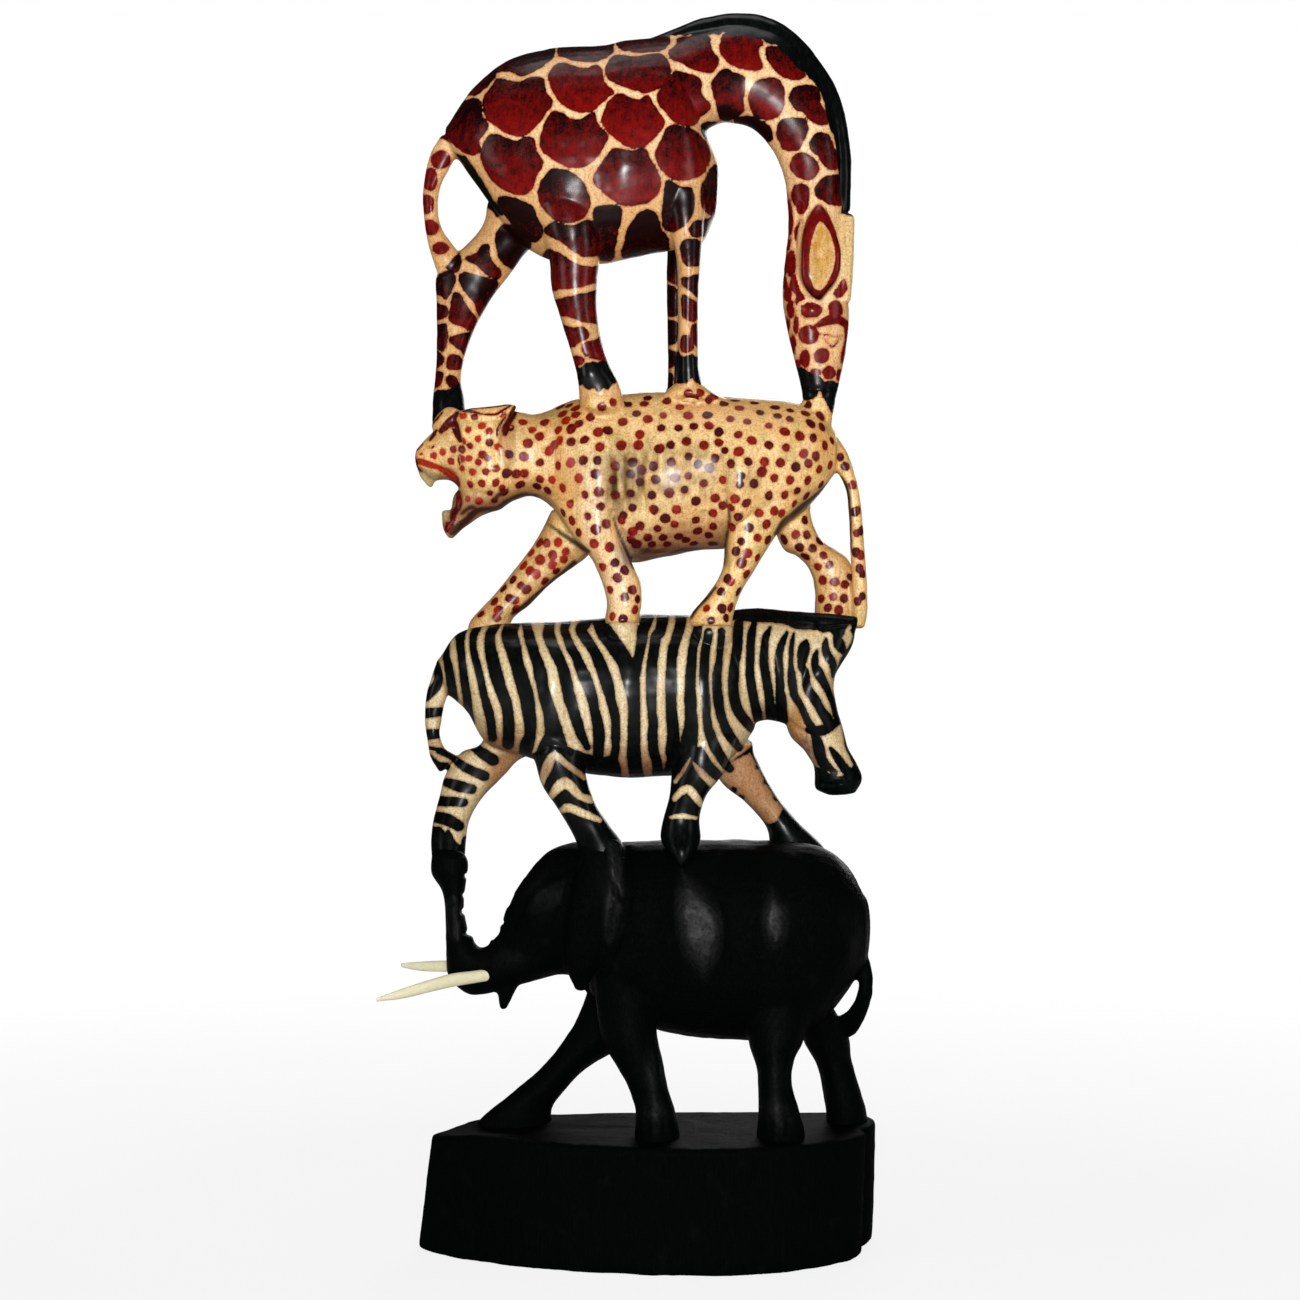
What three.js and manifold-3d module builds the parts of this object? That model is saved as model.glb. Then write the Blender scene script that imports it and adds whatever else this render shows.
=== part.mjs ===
// A stacked animal carving: an elephant carries a zebra, the zebra a leopard and the leopard a giraffe.
// The animals and the base under them are cut from one log, so they are one solid. The elephant's two
// tusks are let into its jaw as pieces of their own.
// Millimetres. +Z is up, X runs along the animals, and the side that is meant to be looked at faces -Y.
// The origin is on the underside of the base, below the middle of the stack.

import * as THREE from "three";
import { mergeVertices } from "three/addons/utils/BufferGeometryUtils.js";
import Module from "manifold-3d";

const wasm = await Module();
wasm.setup();

// Driving sizes. Each animal is drawn from the side, as it is seen from viewDistance away at eyeHeight,
// so a leg off the middle plane is scaled a little about that sight line to be its real size.
const viewDistance = 1000;
const eyeHeight = 240;
const eyeAlong = 1.2;
const baseHeight = 49;
const tuskGap = 0.3; // between a tusk and its socket
const crispness = 2.2; // 2 is a true ellipse, more is squarer, as a knife leaves it

const paintedWood = new THREE.MeshStandardMaterial({ color: 0x6e3a22, roughness: 0.45, metalness: 0 });
const bone = new THREE.MeshStandardMaterial({ color: 0xe6dfb4, roughness: 0.4, metalness: 0 });

// A rib is one slice of a limb or a body: [x, z, x, z, half depth, y]. The two points are the slice's ends
// on the outline, the half depth is along Y, and y is where its middle lies.
const ribPoint = (ribs, i) => new THREE.CatmullRomCurve3(
  ribs.map((rib) => new THREE.Vector3(rib[i], 0, rib[i + 1])), false, "catmullrom",
);

function roundPower(value, power) {
  return Math.sign(value) * Math.abs(value) ** (2 / power);
}

// The rings of a loft: slices along smooth curves through the ribs, with a domed cap at an end that asks for one.
function ringsOf(ribs, steps, caps) {
  const first = ribPoint(ribs, 0);
  const second = ribPoint(ribs, 2);
  const depths = new THREE.CatmullRomCurve3(
    ribs.map((rib) => new THREE.Vector3(rib[4], rib[5] ?? 0, 0)), false, "catmullrom",
  );
  const count = (ribs.length - 1) * steps;
  const rings = [];
  for (let k = 0; k <= count; k++) {
    const a = first.getPoint(k / count);
    const b = second.getPoint(k / count);
    const { x: depth, y } = depths.getPoint(k / count);
    const centre = a.clone().add(b).multiplyScalar(0.5).setY(y);
    rings.push({ centre, across: a.sub(b).multiplyScalar(0.5), depth });
  }
  const domed = (end, inner, height) => [40, 70].map((degrees) => {
    const angle = THREE.MathUtils.degToRad(degrees);
    const outward = end.centre.clone().sub(inner.centre).normalize();
    return {
      centre: end.centre.clone().addScaledVector(outward, height * Math.sin(angle)),
      across: end.across.clone().multiplyScalar(Math.cos(angle)),
      depth: end.depth * Math.cos(angle),
    };
  });
  const [startCap, endCap] = caps;
  const last = rings.length - 1;
  const before = startCap ? domed(rings[0], rings[1], startCap).reverse() : [];
  const after = endCap ? domed(rings[last], rings[last - 1], endCap) : [];
  return [...before, ...rings, ...after];
}

// A closed loft through ribs.
function loft(ribs, { sides = 8, steps = 1, power = crispness, caps = [0, 0] } = {}) {
  const rings = ringsOf(ribs, steps, caps);
  const positions = [];
  const place = (x, y, z) => {
    const grow = 1 + y / viewDistance;
    positions.push(eyeAlong + (x - eyeAlong) * grow, y, eyeHeight + (z - eyeHeight) * grow);
  };
  for (const { centre, across, depth } of rings) {
    for (let j = 0; j < sides; j++) {
      const angle = (2 * Math.PI * j) / sides;
      const c = roundPower(Math.cos(angle), power);
      const s = roundPower(Math.sin(angle), power);
      place(centre.x + across.x * c, centre.y + depth * s, centre.z + across.z * c);
    }
  }
  const index = [];
  for (let i = 0; i < rings.length - 1; i++) {
    for (let j = 0; j < sides; j++) {
      const here = i * sides + j;
      const beside = i * sides + ((j + 1) % sides);
      index.push(here, here + sides, beside, here + sides, beside + sides, beside);
    }
  }
  const ends = [rings[0], rings[rings.length - 1]];
  ends.forEach(({ centre }, end) => {
    const middle = positions.length / 3;
    const ring = end * (rings.length - 1) * sides;
    place(centre.x, centre.y, centre.z);
    for (let j = 0; j < sides; j++) {
      const pair = [ring + j, ring + ((j + 1) % sides)];
      index.push(middle, ...(end ? pair.reverse() : pair));
    }
  });
  const geometry = new THREE.BufferGeometry();
  geometry.setAttribute("position", new THREE.Float32BufferAttribute(positions, 3));
  geometry.setIndex(index);
  return geometry;
}

// A closed geometry as a solid, turned inside out first if its faces point inwards.
function solid(geometry) {
  const bare = geometry.clone();
  bare.deleteAttribute("normal");
  bare.deleteAttribute("uv");
  const merged = mergeVertices(bare, 1e-4);
  const triVerts = new Uint32Array(merged.index.array);
  const vertProperties = merged.attributes.position.array;
  const made = new wasm.Manifold(new wasm.Mesh({ numProp: 3, vertProperties, triVerts }));
  if (made.volume() > 0) return made;
  for (let i = 0; i < triVerts.length; i += 3) {
    [triVerts[i + 1], triVerts[i + 2]] = [triVerts[i + 2], triVerts[i + 1]];
  }
  return new wasm.Manifold(new wasm.Mesh({ numProp: 3, vertProperties, triVerts }));
}

const limb = (ribs, options) => solid(loft(ribs, options));

// The same ribs on the other side of the middle plane.
const mirrored = (ribs) => ribs.map((rib) => [...rib.slice(0, 5), -(rib[5] ?? 0)]);

function elephant() {
  const body = [
    [86.7, 142, 86.3, 113, 15], [80.5, 153, 79, 102, 25], [70.5, 161, 69, 90.5, 31], [55, 163.5, 55, 84, 33.5],
    [35, 164, 35, 84, 34], [15, 164, 15, 86, 33], [-2, 163.5, -2, 90, 31], [-15, 162, -13, 95, 26],
    [-26, 155, -22, 102, 16],
  ];
  // The head runs on into the trunk, which turns up under the zebra's hind hoof.
  const headAndTrunk = [
    [-8, 160, -10, 108, 20], [-24, 163.5, -22, 108, 22], [-38, 160.5, -32, 110, 21],
    [-48, 150.5, -40, 109, 18], [-55, 139, -48, 107, 14], [-58.5, 130, -57, 104.5, 11],
    [-62, 123.5, -65, 102.5, 9], [-66, 121, -71, 102, 8.5], [-68.5, 122.5, -77, 106, 8],
    [-71, 125.5, -80, 111, 8], [-72, 130, -80.5, 120, 7.5], [-73, 137, -81, 133, 7],
    [-72.5, 146, -82, 144, 7.5], [-71.5, 152, -86, 150, 8], [-71.5, 156, -86.5, 155, 8],
    [-73, 159, -86, 159.5, 7.5],
  ];
  const lowerLip = [[-51, 107, -60, 106, 6], [-54, 101, -59.3, 101, 5], [-56, 97.2, -58.8, 97.2, 3.5]];
  const ear = [
    [-24, 162, -11, 163, 5, -20], [-29, 150, -9, 152, 6, -24], [-32, 137, -9.5, 140, 6, -25],
    [-34, 122, -12, 125, 5.5, -23], [-33, 112, -19, 112, 5, -20], [-29, 105, -24, 104, 3, -17],
  ];
  const farFrontLeg = [
    [-20, 112, 4, 104, 13, 14], [-24, 103, 0, 90, 13, 15], [-30, 89, -12, 80, 12, 16],
    [-41, 74.5, -24, 73, 11, 17], [-52, 64.5, -33, 64, 11, 17], [-62, 56.5, -38, 57, 11, 17],
    [-68, 51, -38, 50, 11, 17], [-70, 46, -38, 46, 11, 17],
  ];
  const nearFrontLeg = [
    [-22, 100, 6, 104, 13, -14], [-18, 84, 4, 88, 12, -16], [-12, 73, 6, 76, 11, -17],
    [-7, 64, 8, 66, 10.5, -18], [-4.5, 55, 11, 57, 10.5, -18], [-5, 47, 13, 47, 11.5, -18],
    [-5, 42, 13, 42, 11.5, -18],
  ];
  const nearHindLeg = [
    [38, 100, 68, 100, 13, -14], [40.5, 83, 63, 84, 12, -17], [44, 73, 59, 76, 11, -18],
    [44.5, 63, 58, 66, 10.5, -18], [44.5, 55, 60.5, 57, 10.5, -18], [44, 47, 63, 48, 11.5, -18],
    [44, 42, 63, 42, 11.5, -18],
  ];
  const farHindLeg = [
    [58, 98, 74, 98, 12, 14], [63, 83, 80.5, 86, 11, 16], [68, 74, 81.5, 77, 10.5, 17],
    [70.5, 64, 84.5, 66, 10.5, 17], [71.5, 56, 87.5, 56, 11, 17], [71.5, 48, 88, 48, 11, 17],
  ];
  const tail = [
    [86, 124, 80, 116, 3.5], [89.5, 113, 84.5, 109, 3.5], [90, 103, 84, 102, 3.5],
    [87.5, 93.5, 80.5, 96, 4, 4], [83.5, 86.5, 76, 93.5, 4.5, 9], [78, 84, 71, 91, 4.5, 12],
  ];
  return [
    limb(body, { sides: 16, caps: [2.5, 2] }),
    limb(headAndTrunk, { sides: 10 }),
    limb(lowerLip, { sides: 8, caps: [0, 1] }),
    limb(ear),
    limb(mirrored(ear)),
    ...[farFrontLeg, nearFrontLeg, nearHindLeg, farHindLeg].map((ribs) => limb(ribs, { sides: 10 })),
    limb(tail, { sides: 6, steps: 2 }),
  ];
}

function zebra() {
  const body = [
    [-83, 237, -79, 222, 9], [-76, 246.5, -72, 215, 17], [-64, 250, -64, 203, 22], [-48, 251, -48, 197, 25],
    [-28, 252, -28, 191, 26.5], [-8, 254, -8, 189, 27], [10, 254.5, 10, 190, 26.5], [25, 253, 26, 191, 24.5],
    [36, 248, 37, 200, 18], [43, 238, 42.5, 208, 10],
  ];
  const neck = [
    [14, 252, 26, 205, 21], [38, 254.5, 43, 211, 16], [54, 253, 50, 212, 14], [68, 252, 57, 210, 12],
  ];
  const head = [
    [84, 250, 62, 248, 10], [82, 241, 58, 234, 12], [75.5, 229.5, 55, 219, 12.5], [75.8, 219, 57, 206.5, 11.5],
    [78.5, 209, 62.5, 200, 10], [80.5, 201, 66.3, 194, 9], [84, 194, 67, 189.5, 8.5],
    [86, 188.5, 67.2, 184.5, 8.5], [83.5, 182.9, 72, 181.9, 6],
  ];
  const mane = [
    [34, 256, 34, 248, 3.5], [45, 257, 45, 248, 4], [60, 255.5, 60, 246, 4.5], [75, 254.5, 75, 245, 4.5],
    [84, 253.5, 83, 247, 4],
  ];
  const tail = [
    [-84, 236, -78, 228, 4], [-88, 222, -81, 219, 3.5], [-89, 212, -82.5, 211, 3.3], [-88, 204, -83, 206, 3.3],
    [-86.7, 197.5, -80.5, 200.5, 3.5, 4], [-83, 191, -76, 198, 4, 8],
  ];
  const farHindLeg = [
    [-64, 209, -40, 206, 12, 10], [-67, 202, -46, 199, 11, 11], [-74.5, 199, -52, 195.5, 10, 12],
    [-80.5, 190.5, -56.5, 190.5, 9, 12],
    [-83, 181.5, -66, 180.5, 8.5, 11], [-85.5, 172, -71, 172, 8, 9], [-86.5, 164, -72.5, 164, 8, 7],
    [-86, 157, -73, 157, 8, 5],
  ];
  const nearHindLeg = [
    [-52, 212, -20, 212, 11, -10], [-45, 196, -24.5, 196, 10.5, -13], [-42, 186, -23.5, 187, 9.5, -14],
    [-36, 177, -20, 178, 8.5, -14], [-31, 168.5, -15, 170, 8, -14], [-28, 162, -10, 163, 8.5, -14],
    [-25, 155, -8, 155, 7, -16],
  ];
  const nearFrontLeg = [
    [12, 208, 36, 205, 10.5, -11], [10, 191, 30, 190, 10, -13], [9, 181, 24, 182, 8.5, -14],
    [6.5, 172, 21, 173, 8, -14], [5.5, 165, 21.5, 165, 8.5, -14], [7, 156, 20, 156, 8, -17],
  ];
  const farFrontLeg = [
    [22, 205, 42, 204, 10, 10], [29, 188, 43.5, 197, 9, 12], [39, 179.5, 51, 183, 8.5, 13],
    [47, 170.5, 60.5, 171, 8.5, 13], [49, 164, 70, 162, 9, 12], [48, 157, 72, 157, 9, 10],
  ];
  return [
    limb(body, { sides: 16, caps: [1.5, 1] }),
    limb(neck, { sides: 10 }),
    limb(head, { sides: 12, caps: [0, 0.6] }),
    limb(mane, { sides: 8 }),
    limb(tail, { sides: 6, steps: 2 }),
    ...[farHindLeg, nearHindLeg, nearFrontLeg, farFrontLeg].map((ribs) => limb(ribs)),
  ];
}

function leopard() {
  const body = [
    [-44, 326, -41, 303, 9], [-37, 336, -37, 296, 17], [-26, 341, -27, 285, 23], [-10, 342.5, -10, 275.3, 25], [6, 343.5, 6, 277, 26],
    [22, 342.5, 22, 280, 26], [40, 341, 42, 282, 25.5], [56, 339.5, 58, 292, 23], [68, 336.5, 68, 301, 18],
    [75.3, 328, 75, 310, 10],
  ];
  const headAndUpperJaw = [
    [-30, 340, -32, 292, 19], [-43, 334.5, -44, 301, 16], [-52, 335.5, -53, 300, 16], [-62, 336.5, -61, 295.5, 17.5],
    [-71, 336.5, -70, 299, 16.5], [-80, 332, -78, 307.5, 12.5], [-87, 326, -86, 308, 10],
    [-91.5, 321, -91, 312, 7.5],
  ];
  const lowerJaw = [
    [-62, 312, -58, 296.5, 14], [-76, 303.5, -66, 293.8, 11.5], [-78.3, 296, -73.5, 288.5, 7.5],
    [-81.5, 290, -77.5, 284.6, 5.5],
  ];
  const upperFang = [[-91, 313.5, -83, 311, 3.2], [-89.8, 309, -85, 307.5, 2.8], [-87.5, 305.4, -85.5, 305.4, 1.7]];
  const lowerTooth = [[-82.2, 295.5, -79, 295.8, 2.5], [-81.8, 289, -76, 289, 3.5]];
  const ear = [
    [-76, 335.5, -75.5, 333, 3, -14], [-70, 336.8, -71, 325, 4.5, -14], [-62, 337.5, -62, 322, 5, -15],
    [-56, 338.3, -58, 326, 4.5, -15], [-52.8, 338, -53.5, 335, 2.5, -14],
  ];
  const tail = [
    [75.5, 327, 72, 316, 5], [80.7, 318, 76, 311, 4], [84.3, 306, 79.6, 304, 3.5], [86.3, 292, 81, 292, 3.3],
    [87.3, 278, 81.5, 278, 3.5, 2], [88, 264, 82, 264, 4, 4], [88, 256, 82, 255, 4, 5], [87, 249.5, 82, 249.5, 3.5, 5],
  ];
  const nearFrontLeg = [
    [-38, 300, -6, 298, 12, -10], [-30, 286, -8, 285, 11, -12], [-22.5, 277, -6.5, 276, 9.5, -13],
    [-18, 267, -2.5, 267, 8.5, -13], [-16, 259, -2, 259, 8.3, -13], [-16.5, 251, -3, 252, 8.5, -13],
    [-16.5, 246, -3, 246, 8.5, -13],
  ];
  const farFrontLeg = [
    [-38, 296, -14, 288, 10.5, 9], [-44.5, 283.5, -25, 276.5, 9.5, 12], [-54, 271, -37, 268, 8.5, 12],
    [-62, 261, -46.5, 258.5, 8, 12], [-70, 252.5, -54, 252, 8, 11], [-72, 248, -54, 245, 8, 10],
  ];
  const nearHindLeg = [
    [32, 300, 62, 300, 11.5, -10], [31, 281, 50.5, 284, 10, -12], [29.5, 271, 43, 272, 9, -13],
    [23.5, 261.5, 37.5, 262.5, 8.5, -13], [17.5, 254, 34.5, 254, 8.5, -13], [17.5, 246, 34, 246, 8.5, -13],
  ];
  const farHindLeg = [
    [48, 296, 65.5, 302, 10.5, 10], [54, 281, 65.8, 293.5, 9.5, 12], [60, 277.5, 70, 284, 9, 12],
    [65, 272, 80, 277, 8.5, 12], [67, 264, 83.5, 268, 8, 11], [67, 256, 83, 257, 8, 10], [67, 248, 83, 248, 8, 8],
  ];
  return [
    limb(body, { sides: 16, caps: [1, 1] }),
    limb(headAndUpperJaw, { sides: 12, caps: [0, 1.5] }),
    limb(lowerJaw, { caps: [0, 1.5] }),
    limb(upperFang, { sides: 6 }),
    limb(lowerTooth, { sides: 6 }),
    limb(ear, { sides: 8 }),
    limb(mirrored(ear), { sides: 8 }),
    limb(tail, { sides: 6, steps: 2 }),
    ...[nearFrontLeg, farFrontLeg, nearHindLeg, farHindLeg].map((ribs) => limb(ribs)),
  ];
}

function giraffe() {
  const body = [
    [-80, 449, -75, 436, 10], [-70, 464, -64, 420, 18], [-56, 475.5, -52, 404, 23], [-38, 480.5, -38, 396, 25.5],
    [-18, 482, -18, 394.5, 26.5], [2, 485, 2, 398.5, 26], [14, 482, 13, 400.5, 23],
    [22, 452, 21.5, 402.5, 17.5], [28, 436, 27, 413, 9],
  ];
  // The neck arches over and hangs down, and the muzzle rests on the leopard's rump.
  const neckAndHead = [
    [0, 482, 8, 438, 21], [22, 488.5, 27, 449.5, 15.5], [38, 491, 35, 450.5, 12.5], [53, 487, 43, 448, 11.5],
    [66, 475, 50, 440, 11], [75, 458, 54.5, 430, 10.5], [78, 440, 56, 418, 10], [78, 424, 56.3, 408, 10.5],
    [79, 411, 55.5, 400, 11.5], [80, 398, 54.5, 389, 12], [80.5, 384, 54.2, 380, 11.5], [80.7, 371, 55.8, 369, 10.5],
    [79.3, 358, 58.7, 357, 9], [77, 347, 61.3, 346, 8], [75, 338, 62.5, 337, 8], [74, 330, 64, 329, 7],
  ];
  const mane = [
    [2, 485.2, 4, 480, 3], [12, 488.8, 14, 482, 4], [24, 493.2, 26, 485, 4.8], [38, 495, 38, 486, 5],
    [54, 490.7, 50, 482, 5], [67, 478.5, 61, 471, 5], [77, 462, 71, 457, 4.8], [81.3, 441, 75, 439, 4.5],
    [81.2, 416, 75, 416, 4.3],
  ];
  const ear = [
    [68.2, 418, 69.8, 418, 2, -10], [63.5, 410, 73.5, 411, 4, -11.5], [60.8, 398, 77.5, 399, 4.5, -12.5],
    [61.5, 388, 76.5, 389, 4.5, -12.5], [66, 380, 69.5, 380, 3, -10.5],
  ];
  const horn = [
    [83, 413, 79, 414, 2.2, -4.5], [83, 405, 77, 405, 3.2, -5], [82.5, 390, 76, 390, 3.6, -5],
    [81.5, 380, 76, 379, 3, -5],
  ];
  const tail = [
    [-82, 446, -76, 438, 4], [-86.5, 438.5, -79.5, 432, 3.8], [-89.3, 427, -83, 424, 3.5],
    [-89.5, 415, -83.5, 415, 3.3], [-88, 404, -81.5, 408, 3.4, 3], [-85.5, 396, -77.5, 402, 4, 7],
    [-83, 389, -74, 397, 4.5, 9],
  ];
  const farHindLeg = [
    [-63.5, 419, -36, 412, 12, 9], [-65.5, 410, -42, 405, 11, 10], [-73, 401.5, -49, 398, 10.5, 11],
    [-83.5, 391, -55, 390, 9, 12],
    [-84, 378, -63, 379, 8.5, 11], [-84, 364, -70, 365, 8, 9], [-84.5, 350, -74, 350, 7, 6],
    [-85.7, 340, -73, 340, 7, 3], [-86, 330, -72.5, 330, 7.5, 1],
  ];
  const nearHindLeg = [
    [-50, 428, -20, 428, 11, -12], [-43, 409, -19, 410, 11.5, -14], [-39, 396, -19, 396, 10, -14],
    [-38, 384, -20, 384, 9, -14], [-34, 371, -19.5, 371, 8, -13], [-30, 358, -16.5, 358, 7.5, -13],
    [-27.5, 347, -11, 346, 8, -12], [-27, 337, -8.5, 337, 8.5, -12],
  ];
  const nearFrontLeg = [
    [6, 425, 24, 425, 9, -13], [9, 408, 22.5, 408, 8.5, -13], [12, 395, 21.3, 395, 7, -12],
    [12.3, 378, 20.6, 378, 6.5, -11], [12.3, 358, 20.5, 358, 6.5, -10], [12, 349, 21.5, 349, 7, -9],
    [10.5, 339, 24.5, 339, 8, -8],
  ];
  const farFrontLeg = [
    [6, 425, 20, 425, 9, 12], [8, 405, 18, 405, 7.5, 12], [8, 390, 15.5, 390, 6.5, 11],
    [8.2, 370, 15, 370, 6.3, 10], [8.5, 352, 15, 352, 6.5, 9], [8, 338, 16, 338, 7, 8],
  ];
  return [
    limb(body, { sides: 16, caps: [1.5, 1.2] }),
    limb(neckAndHead, { sides: 10 }),
    limb(mane, { sides: 8 }),
    limb(ear, { sides: 8 }),
    limb(mirrored(ear), { sides: 8 }),
    limb(horn, { sides: 8 }),
    limb(mirrored(horn), { sides: 8 }),
    limb(tail, { sides: 6, steps: 2 }),
    ...[farHindLeg, nearHindLeg, nearFrontLeg, farFrontLeg].map((ribs) => limb(ribs)),
  ];
}

// The base is a slab of the log, bark side to the front, with the groove between two lobes at its right end.
// Its side is not quite upright, so every point of its plan moves
// between the two ends of the slab, and the top edge is worn down at the left.
function base() {
  const plan = [
    [-91.8, 1], [-82.5, -9.8], [-68, -20], [-50, -29.5], [-30, -36.5], [-10, -41], [10, -43.5], [28, -44], [44, -41],
    [58, -36], [70, -29], [79.5, -20], [85, -10], [84.3, -1], [88.6, 5], [91.2, 14], [90.7, 25], [85, 33], [62, 36],
    [30, 36], [0, 35], [-30, 33], [-55, 29], [-76, 20], [-87, 9],
  ];
  const roundOver = 1.8;
  const levels = [
    [0, roundOver], [roundOver, 0], [baseHeight - roundOver, 0], [baseHeight - roundOver / 3, roundOver / 3],
    [baseHeight, roundOver],
  ];
  const curve = new THREE.CatmullRomCurve3(plan.map(([x, y]) => new THREE.Vector3(x, y, 0)), true, "centripetal");
  const count = plan.length * 2;
  const up = new THREE.Vector3(0, 0, 1);
  const positions = [];
  for (const [z, inset] of levels) {
    const risen = z / baseHeight;
    for (let k = 0; k < count; k++) {
      const point = curve.getPoint(k / count);
      const inward = up.clone().cross(curve.getTangent(k / count)).multiplyScalar(inset);
      const lean = THREE.MathUtils.mapLinear(point.x, -90, 90, 5.5, 1.5) * risen;
      const worn = 2.6 * risen * THREE.MathUtils.smoothstep(-point.x, 72, 90);
      positions.push(point.x + inward.x + lean, point.y + inward.y, z - worn);
    }
  }
  const index = [];
  for (let i = 0; i < levels.length - 1; i++) {
    for (let k = 0; k < count; k++) {
      const here = i * count + k;
      const beside = i * count + ((k + 1) % count);
      index.push(here, beside, here + count, here + count, beside, beside + count);
    }
  }
  const topRing = (levels.length - 1) * count;
  const outline = positions.slice(0, 3 * count);
  const flat = [...Array(count).keys()].map((k) => new THREE.Vector2(outline[3 * k], outline[3 * k + 1]));
  for (const [a, b, c] of THREE.ShapeUtils.triangulateShape(flat, [])) {
    index.push(a, c, b, topRing + a, topRing + b, topRing + c);
  }
  const geometry = new THREE.BufferGeometry();
  geometry.setAttribute("position", new THREE.Float32BufferAttribute(positions, 3));
  geometry.setIndex(index);
  return solid(geometry);
}

const leftTuskRibs = [
  [-61, 113, -60.5, 108, 2.4, -5], [-68.5, 111.8, -68, 106.9, 2.5, -9.5], [-78, 110.6, -77.5, 105.3, 2.5, -16],
  [-88, 107.8, -87.5, 103, 2.3, -23], [-98, 104.5, -97.5, 100.6, 1.8, -29], [-107.6, 101, -107.6, 99.4, 0.8, -35],
];
const rightTuskRibs = [
  [-61, 114, -60.5, 109.5, 2.3, 5], [-69, 115.2, -69, 110.4, 2.4, 10.5], [-80, 115.8, -80, 111.2, 2.3, 18],
  [-90, 115.4, -90, 111.6, 1.9, 25], [-97.8, 114.8, -97.8, 113, 0.8, 30.5],
];

// A tusk's ribs grown all round, for the socket that it sits in.
const grown = (ribs, by) => ribs.map(([ax, az, bx, bz, depth, y]) => {
  const half = Math.hypot(ax - bx, az - bz) / 2;
  const more = by / (2 * half);
  return [
    ax + (ax - bx) * more, az + (az - bz) * more, bx - (ax - bx) * more, bz - (az - bz) * more, depth + by, y,
  ];
});

const tuskShape = { sides: 10, power: 2, caps: [0.6, 0.8] };
const socketShape = { sides: 10, power: 2, caps: [1.2, 1.2] };
const animals = [...elephant(), ...zebra(), ...leopard(), ...giraffe()];
const carving = animals
  .reduce((whole, piece) => whole.add(piece), base())
  .subtract(limb(grown(leftTuskRibs, tuskGap), socketShape))
  .subtract(limb(grown(rightTuskRibs, tuskGap), socketShape));

function meshOf(name, shape, material) {
  const { numProp, vertProperties, triVerts } = shape.getMesh();
  const positions = new Float32Array((vertProperties.length / numProp) * 3);
  for (let i = 0; i < positions.length / 3; i++) {
    positions.set(vertProperties.subarray(i * numProp, i * numProp + 3), i * 3);
  }
  const geometry = new THREE.BufferGeometry();
  geometry.setAttribute("position", new THREE.BufferAttribute(positions, 3));
  geometry.setIndex(new THREE.BufferAttribute(triVerts, 1));
  geometry.computeVertexNormals();
  const mesh = new THREE.Mesh(geometry, material);
  mesh.name = name;
  return mesh;
}

const stack = new THREE.Group();
stack.add(
  meshOf("carving", carving, paintedWood),
  meshOf("left_tusk", limb(leftTuskRibs, tuskShape), bone),
  meshOf("right_tusk", limb(rightTuskRibs, tuskShape), bone),
);

export default stack;
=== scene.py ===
import bpy
import numpy as np
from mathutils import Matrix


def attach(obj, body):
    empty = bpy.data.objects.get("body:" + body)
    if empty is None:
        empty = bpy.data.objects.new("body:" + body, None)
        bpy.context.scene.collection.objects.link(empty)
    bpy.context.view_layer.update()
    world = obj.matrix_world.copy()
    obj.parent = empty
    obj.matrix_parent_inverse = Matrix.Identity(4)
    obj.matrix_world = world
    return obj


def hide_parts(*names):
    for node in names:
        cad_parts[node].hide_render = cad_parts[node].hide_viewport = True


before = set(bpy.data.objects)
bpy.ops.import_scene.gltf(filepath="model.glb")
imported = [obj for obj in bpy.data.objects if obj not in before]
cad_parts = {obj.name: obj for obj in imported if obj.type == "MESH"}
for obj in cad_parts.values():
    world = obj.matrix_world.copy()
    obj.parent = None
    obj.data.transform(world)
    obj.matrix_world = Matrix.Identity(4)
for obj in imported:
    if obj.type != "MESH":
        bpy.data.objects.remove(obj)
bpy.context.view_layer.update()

# The four animals and the base are one carving, painted in the places listed below. Shapes and paint are
# in millimetres as they are seen from the eye, which is in front of the middle of the stack. Each animal's
# dictionary gives its limbs, what is carved into them, and its paint.
eye = dict(distance=1000, height=240, along=1.2, lens=69.23)
chisel = dict(
    squareness=2.2,  # 2 makes a limb's section a true ellipse, more is squarer
    steps=8,  # slices between two ribs
    sides=40,
    facet=0.28,  # how far the knife's flats rise and fall
    reach=6.0,  # paint fields are worked out this far from their edges
    margin=9,  # and strokes no farther than this outside the box round their points
)


def smoothThrough(points, steps):
    # Catmull-Rom: between two points the curve is the cubic whose slope at a point is half the step
    # from the point before to the point after.
    padded = np.vstack([2 * points[0] - points[1], points, 2 * points[-1] - points[-2]])
    a, b, c, d = (padded[i : len(padded) - 3 + i, None, :] for i in range(4))
    t = np.linspace(0, 1, steps, endpoint=False)[None, :, None]
    curve = b + 0.5 * t * (c - a + t * (2 * a - 5 * b + 4 * c - d + t * (3 * (b - c) + d - a)))
    return np.vstack([curve.reshape(-1, points.shape[1]), points[-1:]])


def rounded(value, power):
    # the sine or cosine of a superellipse
    return np.sign(value) * np.abs(value) ** (2 / power)


def capOf(end, inner, height):
    # a dome: at angle a the slice has moved out by height * sin a and shrunk to cos a
    angle = np.radians([20, 40, 58, 74, 86])[:, None]
    outward = end[:3] - inner[:3]
    outward = outward / np.linalg.norm(outward)
    return np.hstack([end[:3] + outward * height * np.sin(angle), end[3:] * np.cos(angle)])


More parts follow.
